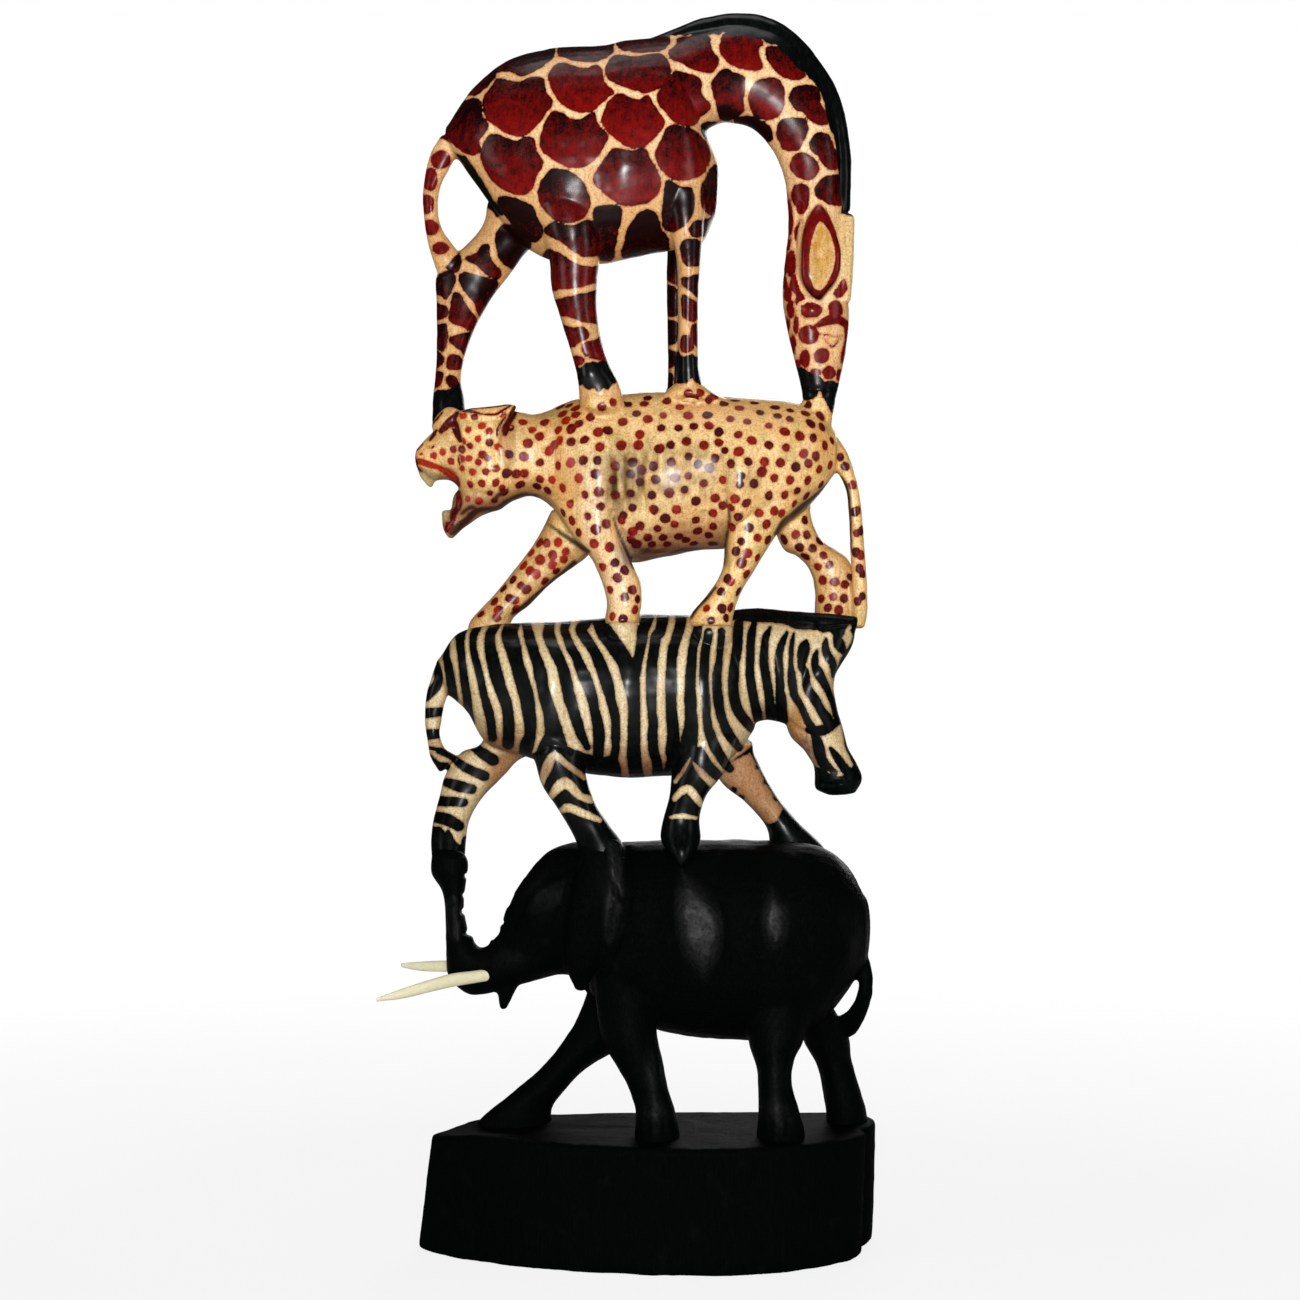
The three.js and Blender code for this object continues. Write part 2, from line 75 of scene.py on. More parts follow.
def limb(ribs, caps=(0, 0), power=chisel["squareness"], side=1):
    # A closed tube through ribs (x, z, x, z, half depth, y): a slice's ends are the two points, and round it
    # the surface is centre + across * cos^(2/n) + depth * sin^(2/n). A slice off the middle plane is scaled
    # about the eye by 1 + y / distance.
    ribs = np.array([tuple(rib) + (0,) * (6 - len(rib)) for rib in ribs], float)
    line = smoothThrough(ribs, chisel["steps"])
    x1, z1, x2, z2, depth, y = line.T
    # one row per slice: centre x, y, z, across x, z, depth
    slices = np.column_stack([(x1 + x2) / 2, side * y, (z1 + z2) / 2, (x1 - x2) / 2, (z1 - z2) / 2, depth])
    first = capOf(slices[0], slices[1], caps[0])[::-1] if caps[0] else slices[:0]
    last = capOf(slices[-1], slices[-2], caps[1]) if caps[1] else slices[:0]
    slices = np.vstack([first, slices, last])
    angle = np.linspace(0, 2 * np.pi, chisel["sides"], endpoint=False)
    c, s = rounded(np.cos(angle), power), rounded(np.sin(angle), power)
    centre, across, depth = slices[:, None, :3], slices[:, None, 3:5], slices[:, None, 5]
    points = np.stack([
        centre[..., 0] + across[..., 0] * c,
        centre[..., 1] + depth * s,
        centre[..., 2] + across[..., 1] * c,
    ], axis=2)
    ends = slices[[0, -1], :3][:, None, :]
    points = fromEye(np.vstack([points.reshape(-1, 3), ends.reshape(-1, 3)]))
    return closedTube(points, len(slices), len(angle))


def fromEye(points):
    # a point drawn at (x, z) and lying at y is really at
    # eye line + (point - eye line) * (1 + y / distance)
    grow = 1 + points[:, 1:2] / eye["distance"]
    middle = np.array([eye["along"], 0, eye["height"]])
    keep = points[:, 1]
    placed = middle + (points - middle) * grow
    placed[:, 1] = keep
    return placed


def closedTube(points, rows, columns):
    # quads between neighbouring rings, and a fan from each end's middle; turned outwards by its volume
    i, j = np.meshgrid(np.arange(rows - 1), np.arange(columns), indexing="ij")
    here, beside = i * columns + j, i * columns + (j + 1) % columns
    quads = np.stack([here, beside, beside + columns, here + columns], axis=2).reshape(-1, 4)
    j = np.arange(columns)
    start, end = rows * columns, rows * columns + 1
    over = (rows - 1) * columns
    fans = np.vstack([
        np.column_stack([np.full(columns, start), (j + 1) % columns, j]),
        np.column_stack([np.full(columns, end), over + j, over + (j + 1) % columns]),
    ])
    a, b, c, d = (points[quads[:, k]] for k in range(4))
    volume = np.einsum("ij,ij->", a, np.cross(b, c)) + np.einsum("ij,ij->", a, np.cross(c, d))
    a, b, c = (points[fans[:, k]] for k in range(3))
    volume += np.einsum("ij,ij->", a, np.cross(b, c))
    if volume < 0:
        quads, fans = quads[:, ::-1], fans[:, ::-1]
    return points, quads, fans


def grainOf(points, size, seed):
    # smooth noise from -1 to 1: random values on a lattice, blended between its corners by 3t^2 - 2t^3
    table = np.random.default_rng(seed).uniform(-1, 1, (32, 32, 32))
    at = points / size
    low = np.floor(at).astype(int)
    t = at - low
    t = t * t * (3 - 2 * t)
    value = np.zeros(len(points))
    for corner in np.ndindex(2, 2, 2):
        weight = np.prod(np.where(corner, t, 1 - t), axis=1)
        x, y, z = ((low + corner) % 32).T
        value += weight * table[x, y, z]
    return value


def meshOf(name, shapes):
    # one mesh from closed shapes, in metres
    vertices, faces, start = [], [], 0
    for points, quads, fans in shapes:
        vertices.append(points * 0.001)
        faces += (quads + start).tolist() + (fans + start).tolist()
        start += len(points)
    mesh = bpy.data.meshes.new(name)
    mesh.from_pydata(np.vstack(vertices).tolist(), [], faces)
    mesh.update()
    return mesh


def fused(name, shapes, voxel, rounds):
    # overlapping limbs become one skin of even quads, and their joins are rubbed smooth
    rough = bpy.data.objects.new(name, meshOf(name, shapes))
    bpy.context.scene.collection.objects.link(rough)
    skin = rough.modifiers.new("skin", "REMESH")
    skin.mode, skin.voxel_size, skin.use_smooth_shade = "VOXEL", voxel * 0.001, True
    rub = rough.modifiers.new("rub", "SMOOTH")
    rub.factor, rub.iterations = 0.5, rounds
    graph = bpy.context.evaluated_depsgraph_get()
    mesh = bpy.data.meshes.new_from_object(rough.evaluated_get(graph))
    mesh.name = name
    bpy.data.objects.remove(rough)
    piece = bpy.data.objects.new(name, mesh)
    bpy.context.scene.collection.objects.link(piece)
    return piece


def readSkin(piece):
    # the places and normals of a piece's points, in millimetres, and where the eye sees them
    count = len(piece.data.vertices)
    points, normals = np.empty(3 * count, np.float32), np.empty(3 * count, np.float32)
    piece.data.vertices.foreach_get("co", points)
    piece.data.vertices.foreach_get("normal", normals)
    points, normals = points.reshape(-1, 3).astype(float) * 1000, normals.reshape(-1, 3).astype(float)
    grow = 1 + points[:, 1] / eye["distance"]
    seen = np.column_stack([
        eye["along"] + (points[:, 0] - eye["along"]) / grow,
        eye["height"] + (points[:, 2] - eye["height"]) / grow,
    ])
    return points, normals, seen


def fromStroke(seen, stroke, steps=3):
    # the distance to a smooth line through (x, z, width), less half its width there: below 0 inside it
    line = smoothThrough(np.array(stroke, float), steps)
    low, high = line[:, :2].min(0), line[:, :2].max(0)
    near = np.all((seen > low - chisel["margin"]) & (seen < high + chisel["margin"]), axis=1)
    p = seen[near]
    best = np.full(len(p), chisel["reach"])
    for a, b in zip(line[:-1], line[1:]):
        along = b[:2] - a[:2]
        t = np.clip((p - a[:2]) @ along / max(along @ along, 1e-9), 0, 1)
        gap = np.hypot(*(p - a[:2] - t[:, None] * along).T)
        best = np.minimum(best, gap - (a[2] + (b[2] - a[2]) * t) / 2)
    field = np.full(len(seen), chisel["reach"])
    field[near] = best
    return field


def fromOval(seen, x, z, a, b):
    # (the point's radius in the oval's own measure - 1) times its smaller half width
    return (np.hypot((seen[:, 0] - x) / a, (seen[:, 1] - z) / b) - 1) * min(a, b)


def roundOff(outline, steps=4):
    # a closed outline with its corners rounded off: the smooth curve through them
    ring = np.array(outline, float)
    curve = smoothThrough(np.vstack([ring[-2:], ring, ring[:3]]), steps)
    return curve[2 * steps : (len(ring) + 2) * steps]


def fromOutline(seen, outline):
    # the distance to a closed outline, below 0 inside, for points near it: a point is inside if a line
    # from it crosses an odd number of edges
    corners, reach = np.array(outline, float), chisel["reach"]
    close = np.all((seen > corners.min(0) - reach) & (seen < corners.max(0) + reach), axis=1)
    p = seen[close]
    best, inside = np.full(len(p), 1e3), np.zeros(len(p), bool)
    for a, b in zip(corners, np.roll(corners, -1, axis=0)):
        along = b - a
        t = np.clip((p - a) @ along / max(along @ along, 1e-9), 0, 1)
        best = np.minimum(best, np.hypot(*(p - a - t[:, None] * along).T))
        crosses = (a[1] > p[:, 1]) != (b[1] > p[:, 1])
        at = a[0] + (p[:, 1] - a[1]) * along[0] / (along[1] if along[1] else 1e-9)
        inside ^= crosses & (p[:, 0] < at)
    field = np.full(len(seen), reach)
    field[close] = np.where(inside, -best, np.minimum(best, reach))
    return field


def joined(*fields):
    # inside any of them
    return np.minimum.reduce(fields)


def fromStrokes(seen, strokes):
    return joined(*(fromStroke(seen, stroke) for stroke in strokes))


def fromOutlines(seen, outlines):
    return joined(*(fromOutline(seen, outline) for outline in outlines))


def cutBy(field, other):
    # inside the first but not the other
    return np.maximum(field, -other)


def onlyWhere(field, keep):
    return np.where(keep, field, chisel["reach"])


def ramp(value, low, high):
    # 0 below low, 1 above high, and 3t^2 - 2t^3 between
    t = np.clip((value - low) / (high - low), 0, 1)
    return t * t * (3 - 2 * t)


def between(value, low, full, last, high):
    # 0 below low, 1 from full to last, 0 above high
    return ramp(value, low, full) * ramp(high - value, 0, high - last)


def spread(seen, places):
    # the sum of rise * exp(-(dx / a)^2 - (dz / b)^2) over soft places (x, z, a, b, rise)
    total = np.zeros(len(seen))
    for x, z, a, b, rise in places:
        total += rise * np.exp(-(((seen[:, 0] - x) / a) ** 2) - ((seen[:, 1] - z) / b) ** 2)
    return total


def grooves(seen, cuts):
    # the sum of depth * exp(-(d / width)^2), where d is the distance to a knife line through its places
    total = np.zeros(len(seen))
    for depth, width, line in cuts:
        away = fromStroke(seen, [(x, z, 0) for x, z in line])
        total += depth * np.exp(-((away / width) ** 2))
    return total


def carve(piece, swells=(), mounds=(), cuts=(), nicks=(), dull=(), polish=(0, 0), facet=chisel["facet"],
          seed=1):
    # Along its normal a point moves by the soft swells and by mounds, which rise to a height over a soft rim
    # inside an outline, less the cuts; all these on the flanks only. Nicks are cuts round an edge. The
    # knife's low flats and a finer unevenness come on top. What stands high is rubbed brighter: shine is
    # polish[0] + polish[1] * rise, less underneath and at the dull places.
    points, normals, seen = readSkin(piece)
    move = spread(seen, swells) - grooves(seen, cuts)
    for height, soft, outline in mounds:
        move += height * ramp(-fromOutline(seen, roundOff(outline)), -0.5, soft)
    move *= ramp(np.abs(normals[:, 1]), 0.15, 0.6)
    rubbed = np.clip(polish[0] + polish[1] * move, 0, 1)
    rubbed *= 1 - 0.75 * ramp(-normals[:, 2], 0.1, 0.7)
    for place in dull:
        rubbed *= 1 - spread(seen, [(*place, 0.9)])
    keepFields(piece, shine=rubbed)
    move += facet * grainOf(points * (1, 1, 0.6), 9, seed) + 0.35 * facet * grainOf(points, 3.2, seed + 1)
    points += normals * (move - grooves(seen, nicks))[:, None]
    points[:, 2] = np.maximum(points[:, 2], 0)
    piece.data.vertices.foreach_set("co", (points * 0.001).astype(np.float32).ravel())
    piece.data.update()


def keepFields(piece, **fields):
    # one value at each point for the materials to read
    for name, values in fields.items():
        kept = piece.data.attributes.new(name, "FLOAT", "POINT")
        kept.data.foreach_set("value", np.asarray(values, np.float32))


def keepGround(piece, ground):
    kept = piece.data.attributes.new("ground", "FLOAT_COLOR", "POINT")
    kept.data.foreach_set("color", np.column_stack([ground, np.ones(len(ground))]).astype(np.float32).ravel())


def washed(ground, colours, **shares):
    # washes laid over one another, each covering what lies under it by its share, from 0 to 1
    for name, share in shares.items():
        ground = ground + (np.array(colours[name]) - ground) * np.clip(share, 0, 1)[:, None]
    return ground


def groundOf(points, normals, colours, seed):
    # cream that drifts a little from place to place, with a painted light where the surface faces the eye or
    # straight away from it, and a painted shade of the shade colour where the surface looks down
    return washed(
        np.tile(np.array(colours["cream"], float), (len(points), 1)), colours,
        warm=0.5 + 0.5 * grainOf(points, 17, seed),
        pale=ramp(np.abs(normals[:, 1]), 0.75, 1) * (0.55 + 0.3 * grainOf(points, 7, seed + 1)),
        shade=ramp(-normals[:, 2], 0.25, 0.95) * 0.9,
    )


def limbsOf(animal):
    # every limb with the domes that close its ends; the paired ones are on both sides
    return [
        limb(animal[name], domes, side=side)
        for name, domes in animal["limbs"].items()
        for side in ((1, -1) if name in animal.get("pairs", ()) else (1,))
    ]


giraffe = dict(
    voxel=0.87, rounds=4,
    # limbs, with the heights of the domes at their ends; then each limb's slices (x, z, x, z, half depth, y)
    limbs=dict(
        body=(1.5, 1.2), neckAndHead=(0, 0), mane=(1, 1), ear=(1, 1), horn=(1, 1), tail=(0.8, 0.8),
        farHindLeg=(0, 0), nearHindLeg=(0, 0), nearFrontLeg=(0, 0), farFrontLeg=(0, 0),
    ),
    pairs=("ear", "horn"),
    body=[(-80, 449, -75, 436, 10), (-70, 464, -64, 420, 18), (-56, 475.5, -52, 404, 23),
        (-38, 480.5, -38, 396, 25.5), (-18, 482, -18, 394.5, 26.5), (2, 485, 2, 398.5, 26),
        (14, 482, 13, 400.5, 23), (22, 452, 21.5, 402.5, 17.5), (28, 436, 27, 413, 9)],
    neckAndHead=[(0, 482, 8, 438, 21), (22, 488.5, 27, 449.5, 15.5), (38, 491, 35, 450.5, 12.5),
        (53, 487, 43, 448, 11.5), (66, 475, 50, 440, 11), (75, 458, 54.5, 430, 10.5), (78, 440, 56, 418, 10),
        (78, 424, 56.3, 408, 10.5), (79, 411, 55.5, 400, 11.5), (80, 398, 54.5, 389, 12),
        (80.5, 384, 54.2, 380, 11.5), (80.7, 371, 55.8, 369, 10.5), (79.3, 358, 58.7, 357, 9),
        (77, 347, 61.3, 346, 8), (75, 338, 62.5, 337, 8), (74, 330, 64, 329, 7)],
    mane=[(2, 485.2, 4, 480, 3), (12, 488.8, 14, 482, 4), (24, 493.2, 26, 485, 4.8), (38, 495, 38, 486, 5),
        (54, 490.7, 50, 482, 5), (67, 478.5, 61, 471, 5), (77, 462, 71, 457, 4.8), (81.3, 441, 75, 439, 4.5),
        (81.2, 416, 75, 416, 4.3)],
    ear=[(68.2, 418, 69.8, 418, 2, -10), (63.5, 410, 73.5, 411, 4, -11.5),
        (60.8, 398, 77.5, 399, 4.5, -12.5), (61.5, 388, 76.5, 389, 4.5, -12.5),
        (66, 380, 69.5, 380, 3, -10.5)],
    horn=[(83, 413, 79, 414, 2.2, -4.5), (83, 405, 77, 405, 3.2, -5), (82.5, 390, 76, 390, 3.6, -5),
        (81.5, 380, 76, 379, 3, -5)],
    tail=[(-82, 446, -76, 438, 4), (-86.5, 438.5, -79.5, 432, 3.8), (-89.3, 427, -83, 424, 3.5),
        (-89.5, 415, -83.5, 415, 3.3), (-88, 404, -81.5, 408, 3.4, 3), (-85.5, 396, -77.5, 402, 4, 7),
        (-83, 389, -74, 397, 4.5, 9)],
    farHindLeg=[(-63.5, 419, -36, 412, 12, 9), (-65.5, 410, -42, 405, 11, 10),
        (-73, 401.5, -49, 398, 10.5, 11), (-83.5, 391, -55, 390, 9, 12), (-84, 378, -63, 379, 8.5, 11),
        (-84, 364, -70, 365, 8, 9), (-84.5, 350, -74, 350, 7, 6), (-85.7, 340, -73, 340, 7, 3),
        (-86, 330, -72.5, 330, 7.5, 1)],
    nearHindLeg=[(-50, 428, -20, 428, 11, -12), (-43, 409, -19, 410, 11.5, -14),
        (-39, 396, -19, 396, 10, -14), (-38, 384, -20, 384, 9, -14), (-34, 371, -19.5, 371, 8, -13),
        (-30, 358, -16.5, 358, 7.5, -13), (-27.5, 347, -11, 346, 8, -12), (-27, 337, -8.5, 337, 8.5, -12)],
    nearFrontLeg=[(6, 425, 24, 425, 9, -13), (9, 408, 22.5, 408, 8.5, -13), (12, 395, 21.3, 395, 7, -12),
        (12.3, 378, 20.6, 378, 6.5, -11), (12.3, 358, 20.5, 358, 6.5, -10), (12, 349, 21.5, 349, 7, -9),
        (10.5, 339, 24.5, 339, 8, -8)],
    farFrontLeg=[(6, 425, 20, 425, 9, 12), (8, 405, 18, 405, 7.5, 12), (8, 390, 15.5, 390, 6.5, 11),
        (8.2, 370, 15, 370, 6.3, 10), (8.5, 352, 15, 352, 6.5, 9), (8, 338, 16, 338, 7, 8)],
    carving=dict(
        # muscles and hollows (x, z, half width, half height, rise)
        swells=[(-33, 421, 10, 20, 1.2), (-9, 433, 6.5, 14, 1.5), (14, 430, 8, 22, 0.9),
            (-58, 452, 12, 14, 0.8), (-29, 380, 6, 24, 1.0), (-24, 349, 4, 5, 1.2),
            (65.8, 375.7, 4.2, 3, 1.6), (70.2, 397, 3.8, 10, -2.9), (64, 364, 4, 5, 0.5),
            (75, 358, 4, 6, 0.5), (44, 468, 12, 8, 0.8), (-20, 350, 9, 5, 0.5), (16, 352, 6, 4, 0.5),
            (58, 402, 3, 10, -0.8)],
        # knife lines (depth, width, places)
        cuts=[
            (0.7, 1.1, [(-75, 437), (-68, 427), (-62, 418.5), (-57, 413)]),
            (0.6, 0.9, [(68.5, 366.5), (71.5, 363), (74, 361), (77, 364)]),
            (0.6, 0.9, [(66.5, 370), (70, 369.4), (73.5, 370.6), (80, 371.2)]),
            (0.5, 0.8, [(61, 379.5), (65, 380.4), (69.5, 379.8), (72, 376)]),
            (0.5, 0.8, [(61.4, 372.6), (65, 371.6), (69.5, 372.6), (72, 375)]),
            (0.5, 0.8, [(-28, 356.5), (-22, 357), (-17, 356.5)]),
            (0.6, 0.9, [(62, 345), (68, 344.2), (76, 344.6)]),
            (0.8, 1.2, [(61, 418), (58.6, 405), (58.8, 392), (62, 383)]),
        ],
        polish=(0.3, 0.22), dull=[(-23, 425, 5, 8)], seed=3,
    ),
    # pale is a painted light for the surfaces that face the eye, and shade a painted shade for those that
    # look down
    cream=(0.93, 0.59, 0.30), warm=(0.76, 0.42, 0.17), pale=(0.97, 0.69, 0.38), shade=(0.38, 0.17, 0.07),
    redLight=(0.23, 0.0035, 0.0024, 1), redDark=(0.008, 0.0005, 0.0006, 1), fringe=(0.62, 0.29, 0.17, 1),
    patchy=1.3,
    earColour=(0.56, 0.28, 0.04), blockColour=(0.79, 0.54, 0.24), faceColour=(0.66, 0.33, 0.11),
    # a painted shade that darkens the lower body
    thighColour=(0.66, 0.35, 0.12),
    # patches as (how dark, corners of a smooth outline): the back, the flank, the belly and thigh, the neck
    patches=[
        (0.7, [(-62, 471), (-56, 471.8), (-50, 469.8), (-44, 472), (-38, 477), (-37, 480.5), (-40, 488),
            (-55, 486), (-64, 477)]),
        (0.6, [(-35.6, 479), (-32, 477), (-26, 475.3), (-20, 475.4), (-15, 478), (-13.4, 480.6),
            (-17, 488), (-31, 488)]),
        (0.55, [(-11, 481), (-7, 479.5), (-2, 478.8), (4, 479.5), (8.4, 482), (8.6, 485), (6, 491),
            (-4, 491), (-12, 486)]),
        (0.3, [(12.6, 485), (12, 482), (9, 479.4), (9.6, 477), (13, 475.4), (17, 473.2), (21, 471.6),
            (25, 470.8), (27.2, 472.2), (28.6, 476), (25.8, 480.4), (24.6, 485.6), (18.6, 485.6)]),
        (0.1, [(30.4, 486), (29.4, 480.4), (30.6, 477), (34, 474), (38.6, 472.4), (43, 471.9),
            (46.2, 473), (45, 477.4), (44.6, 480.2), (46.2, 483), (43, 486), (37, 487.5)]),
        (0.35, [(48, 480.8), (47.4, 478), (49.4, 474.5), (52, 471), (57, 468.5), (62, 468.4),
            (63.4, 470.6), (60, 474), (57.8, 477.6), (55.4, 480.8), (51, 481.7)]),
        (0.6, [(-74, 463), (-68.4, 462.3), (-65, 464.8), (-61.8, 468), (-60.6, 469.8), (-63, 475),
            (-72, 471)]),
        (0.2, [(-62, 465.2), (-65.6, 460), (-64.5, 453), (-60, 449.4), (-55, 446.2), (-50, 445.7),
            (-46.6, 447), (-43, 451.4), (-40, 455.6), (-37.5, 459.4), (-40.4, 463), (-41.2, 468.2),
            (-46, 469.3), (-51, 467), (-56, 467.8), (-60, 468.4)]),
        (0.15, [(-39.4, 468), (-38.4, 471.6), (-36, 474.2), (-32, 474.5), (-28, 473.2), (-24, 473),
            (-20, 473.7), (-18.2, 472), (-17, 467), (-13.2, 463.5), (-15.6, 461), (-19, 458),
            (-22, 455.8), (-27, 455.2), (-32, 457.2), (-36, 460.6)]),
        (0.35, [(-16, 474), (-13.6, 477.4), (-10.6, 478.2), (-6, 477.4), (-2, 477.8), (2, 478.6),
            (6, 478), (8.2, 475.6), (9.6, 470.6), (8.4, 467.6), (5, 465), (0, 463), (-4, 463.7),
            (-9, 465.4), (-14, 467.4), (-16.6, 470.4)]),
        (0.2, [(5.4, 464), (8, 467.4), (10.6, 471), (13.4, 471.3), (17, 470), (20.4, 468.8),
            (21.8, 466.6), (21.9, 462.6), (24.4, 459), (24.8, 456.4), (21.4, 453), (19, 450.2),
            (15.4, 449.6), (11, 451.6), (7, 455.4), (4, 460)]),
        (0.3, [(25.9, 466.6), (28, 470.2), (31, 472.6), (34, 471.4), (37, 470), (39, 468.6), (39, 464),
            (38.4, 460), (38.6, 456), (35, 452.6), (30, 452.4), (28.6, 455.6), (27.8, 459), (26.2, 463)]),
        (0.15, [(40.8, 461), (43, 466.4), (47.6, 468.8), (52, 468.4), (54.4, 465), (54.8, 460),
            (53.8, 455.6), (50, 452.6), (45, 453), (42, 455.2)]),
        (0.4, [(57, 461), (59, 465), (63.6, 465.8), (67.6, 465.2), (69.4, 462), (69, 459), (70.6, 456),
            (73, 453), (72, 450.4), (69, 450), (65, 452), (62.6, 455), (58.8, 457)]),
        (0.45, [(-86, 446), (-81.6, 444.4), (-77.4, 442.2), (-74, 439.3), (-70, 437.8), (-66.6, 439.8),
            (-67.5, 443.5), (-65, 446.8), (-63.4, 450), (-66, 454), (-66, 458), (-67.6, 460.4),
            (-71.6, 460), (-76.4, 458), (-84, 454)]),
        (0.25, [(-66.4, 436), (-65, 443), (-62, 446.4), (-57, 445), (-52, 443.4), (-48.6, 445.4),
            (-45, 444.4), (-44.2, 440), (-41.8, 436.4), (-42, 433), (-44.4, 429.4), (-45.6, 424.6),
            (-49, 422.3), (-54, 422.7), (-60, 426), (-64, 431)]),
        (0.2, [(-42.4, 446), (-40.4, 451), (-38, 455.2), (-34.6, 455), (-31, 452.6), (-27, 452),
            (-24, 453.8), (-21, 454.5), (-19.6, 450.4), (-16.6, 447), (-15.8, 444.6), (-17.2, 441.6),
            (-19.4, 438.4), (-21, 436.2), (-23, 434.6), (-26, 433.3), (-30, 433), (-34, 434.4),
            (-39.6, 437.6), (-42.8, 441)]),
        (0.05, [(-18.4, 451), (-17, 455.5), (-15.4, 459.6), (-11.5, 462.3), (-7, 461), (-3, 460.2),
            (0.4, 461.8), (3, 457.6), (6, 453.4), (6.6, 450), (3.5, 446), (-0.5, 441.6), (-4.5, 440.7),
            (-9, 442.2), (-14.4, 446.4)]),
        (0.2, [(5, 442), (6.8, 446.2), (9.4, 449.4), (14, 449.4), (19, 447.6), (22, 444.6), (24.6, 440),
            (24.5, 434.5), (21.5, 430), (16, 428), (10, 428.6), (5.6, 432.4), (3.3, 438)]),
        (0.9, [(21.8, 449.6), (24, 451.2), (27.6, 450.8), (27, 447.4), (24.4, 444.6), (22.6, 446.4)]),
        (0.4, [(-43.6, 422), (-42, 428), (-38.4, 432.2), (-34, 432), (-29.6, 430.4), (-26, 427.4),
            (-24.4, 424), (-22.5, 419), (-25, 414), (-28, 411.6), (-33, 411), (-38, 413.5), (-42, 417.5)]),
        (0.15, [(-20.6, 431), (-18, 434.8), (-15.4, 438.2), (-13.6, 440.4), (-10.6, 440.2), (-6, 439.5),
            (-1, 440.6), (1, 437), (4, 432), (5.5, 427.4), (4, 422.4), (1, 419.4), (-4, 418), (-9, 417.8),
            (-14, 420.4), (-19, 424.4), (-21.6, 427.6)]),
        (0.8, [(-59.6, 418.4), (-58.6, 421.4), (-54, 421), (-49, 419.2), (-45.4, 416.6), (-43.6, 412.6),
            (-41.4, 408), (-43, 404.4), (-47.4, 403), (-52.6, 408), (-56, 413)]),
        (0.9, [(-59, 409), (-56, 410.4), (-52, 409.4), (-48.4, 405.4), (-46, 402.4), (-49.4, 398.4),
            (-53, 392.6), (-57, 394), (-60, 398.8), (-60.6, 405)]),
        (0.6, [(24, 430), (27, 434), (31, 431), (32.6, 423), (30, 416), (25, 414), (21.6, 419), (22, 425)]),
        (0.8, [(7.6, 427.4), (10.6, 427), (14, 425), (17, 425.4), (18.6, 422.6), (19, 418), (17.5, 412.6),
            (14.5, 409.6), (11, 407.6), (7, 408.6), (5.6, 413), (6.5, 419)]),
        (0.7, [(-20.5, 417), (-16, 418), (-11, 417.3), (-10, 413), (-11.4, 408), (-12.4, 402),
            (-14, 396.4), (-19, 396.4), (-19.6, 403), (-20.5, 408), (-21.4, 413)]),
        (0.85, [(-9, 404), (-7, 410), (-2.2, 415.4), (2.8, 415.5), (5, 412.4), (5.6, 408.4), (8.5, 404.4),
            (8, 398), (2, 396), (-4, 395.6), (-9.4, 396.4), (-10, 401)]),
        (0.55, [(-41.6, 408), (-37, 411), (-30.6, 409.6), (-25.4, 411.5), (-19.6, 411.4), (-18.4, 406),
            (-18.6, 399), (-24.4, 397.4), (-29, 399.4), (-33, 402.4), (-37.6, 405)]),
        (0.65, [(16.8, 408), (18.8, 411), (22.4, 412), (27, 413), (26, 407), (21, 405.4), (18.4, 405.6)]),
        (0.3, [(51.5, 447), (54, 451.5), (59, 452.6), (63.4, 452), (64.4, 448), (62.4, 443.6), (60, 440),
            (55, 440.4), (53, 443.4)]),
        (0.95, [(35, 451.8), (38, 453.4), (43, 453.2), (46.4, 451), (49.6, 448.6), (50, 444), (45, 443),
            (39, 446)]),
        (0.4, [(65, 440.6), (66, 444.6), (68.4, 447), (72.6, 446.4), (74.5, 442), (76.6, 438.4),
            (76.5, 433.4), (74, 432), (70.5, 434.4), (68.5, 438)]),
        (0.15, [(57.5, 433.5), (59, 437.4), (62, 438.7), (66, 437), (68.8, 433), (67.4, 429.5), (64, 428),
            (60, 429.4)]),
        (0.4, [(67, 423.4), (69.5, 428), (73, 429.8), (78, 429.6), (78.6, 424), (78.4, 418.4),
            (73.5, 418), (69.5, 420)]),
        (0.15, [(58, 421), (58.6, 425.4), (61.5, 426.5), (64.6, 425), (64.8, 419.6), (63.8, 415.6),
            (61, 414.6), (59.4, 417.4)]),
        # the hind leg nearest the eye, then the far one
        (0.3, [(-41, 399.4), (-36, 399.2), (-32, 396.6), (-29, 394.4), (-24, 393.4), (-17, 393),
            (-17, 387.6), (-23, 386.3), (-29, 385), (-34, 384.3), (-42, 384.4)]),
        (0.3, [(-40, 379), (-35, 380.6), (-30, 381.6), (-24, 382.6), (-17, 383), (-16.6, 370.7),
            (-22, 370.8), (-27, 371.8), (-32, 373.4), (-38, 375)]),
        (0.3, [(-36.4, 371.6), (-33, 369.8), (-29, 369), (-25, 368.8), (-23.2, 367), (-23.6, 364.8),
            (-27, 363.2), (-30.4, 361), (-35, 360.6)]),
        (0.15, [(-26, 360.4), (-25, 362.8), (-21, 364), (-18, 365.3), (-13.6, 362), (-13.6, 356),
            (-19, 356.2), (-23, 357), (-25, 358.4)]),
        (0.2, [(-30.6, 356.4), (-28, 357.5), (-25.4, 356.4), (-26.6, 354), (-31, 353)]),
        (0.7, [(-80, 393), (-76.6, 397.3), (-75, 398.6), (-74.4, 395), (-76, 391.5), (-78.5, 392.2)]),
        (0.5, [(-73, 396.5), (-68.6, 398.5), (-66, 401.4), (-63.6, 402), (-63, 398), (-61, 394.6),
            (-58.4, 391), (-60, 388.6), (-64, 390.5), (-68, 393.5)]),
        (0.6, [(-86, 386), (-83, 390), (-80, 391.3), (-77.3, 390.5), (-77, 387.5), (-78.5, 383.4),
            (-80.5, 380), (-83, 382), (-86, 383)]),
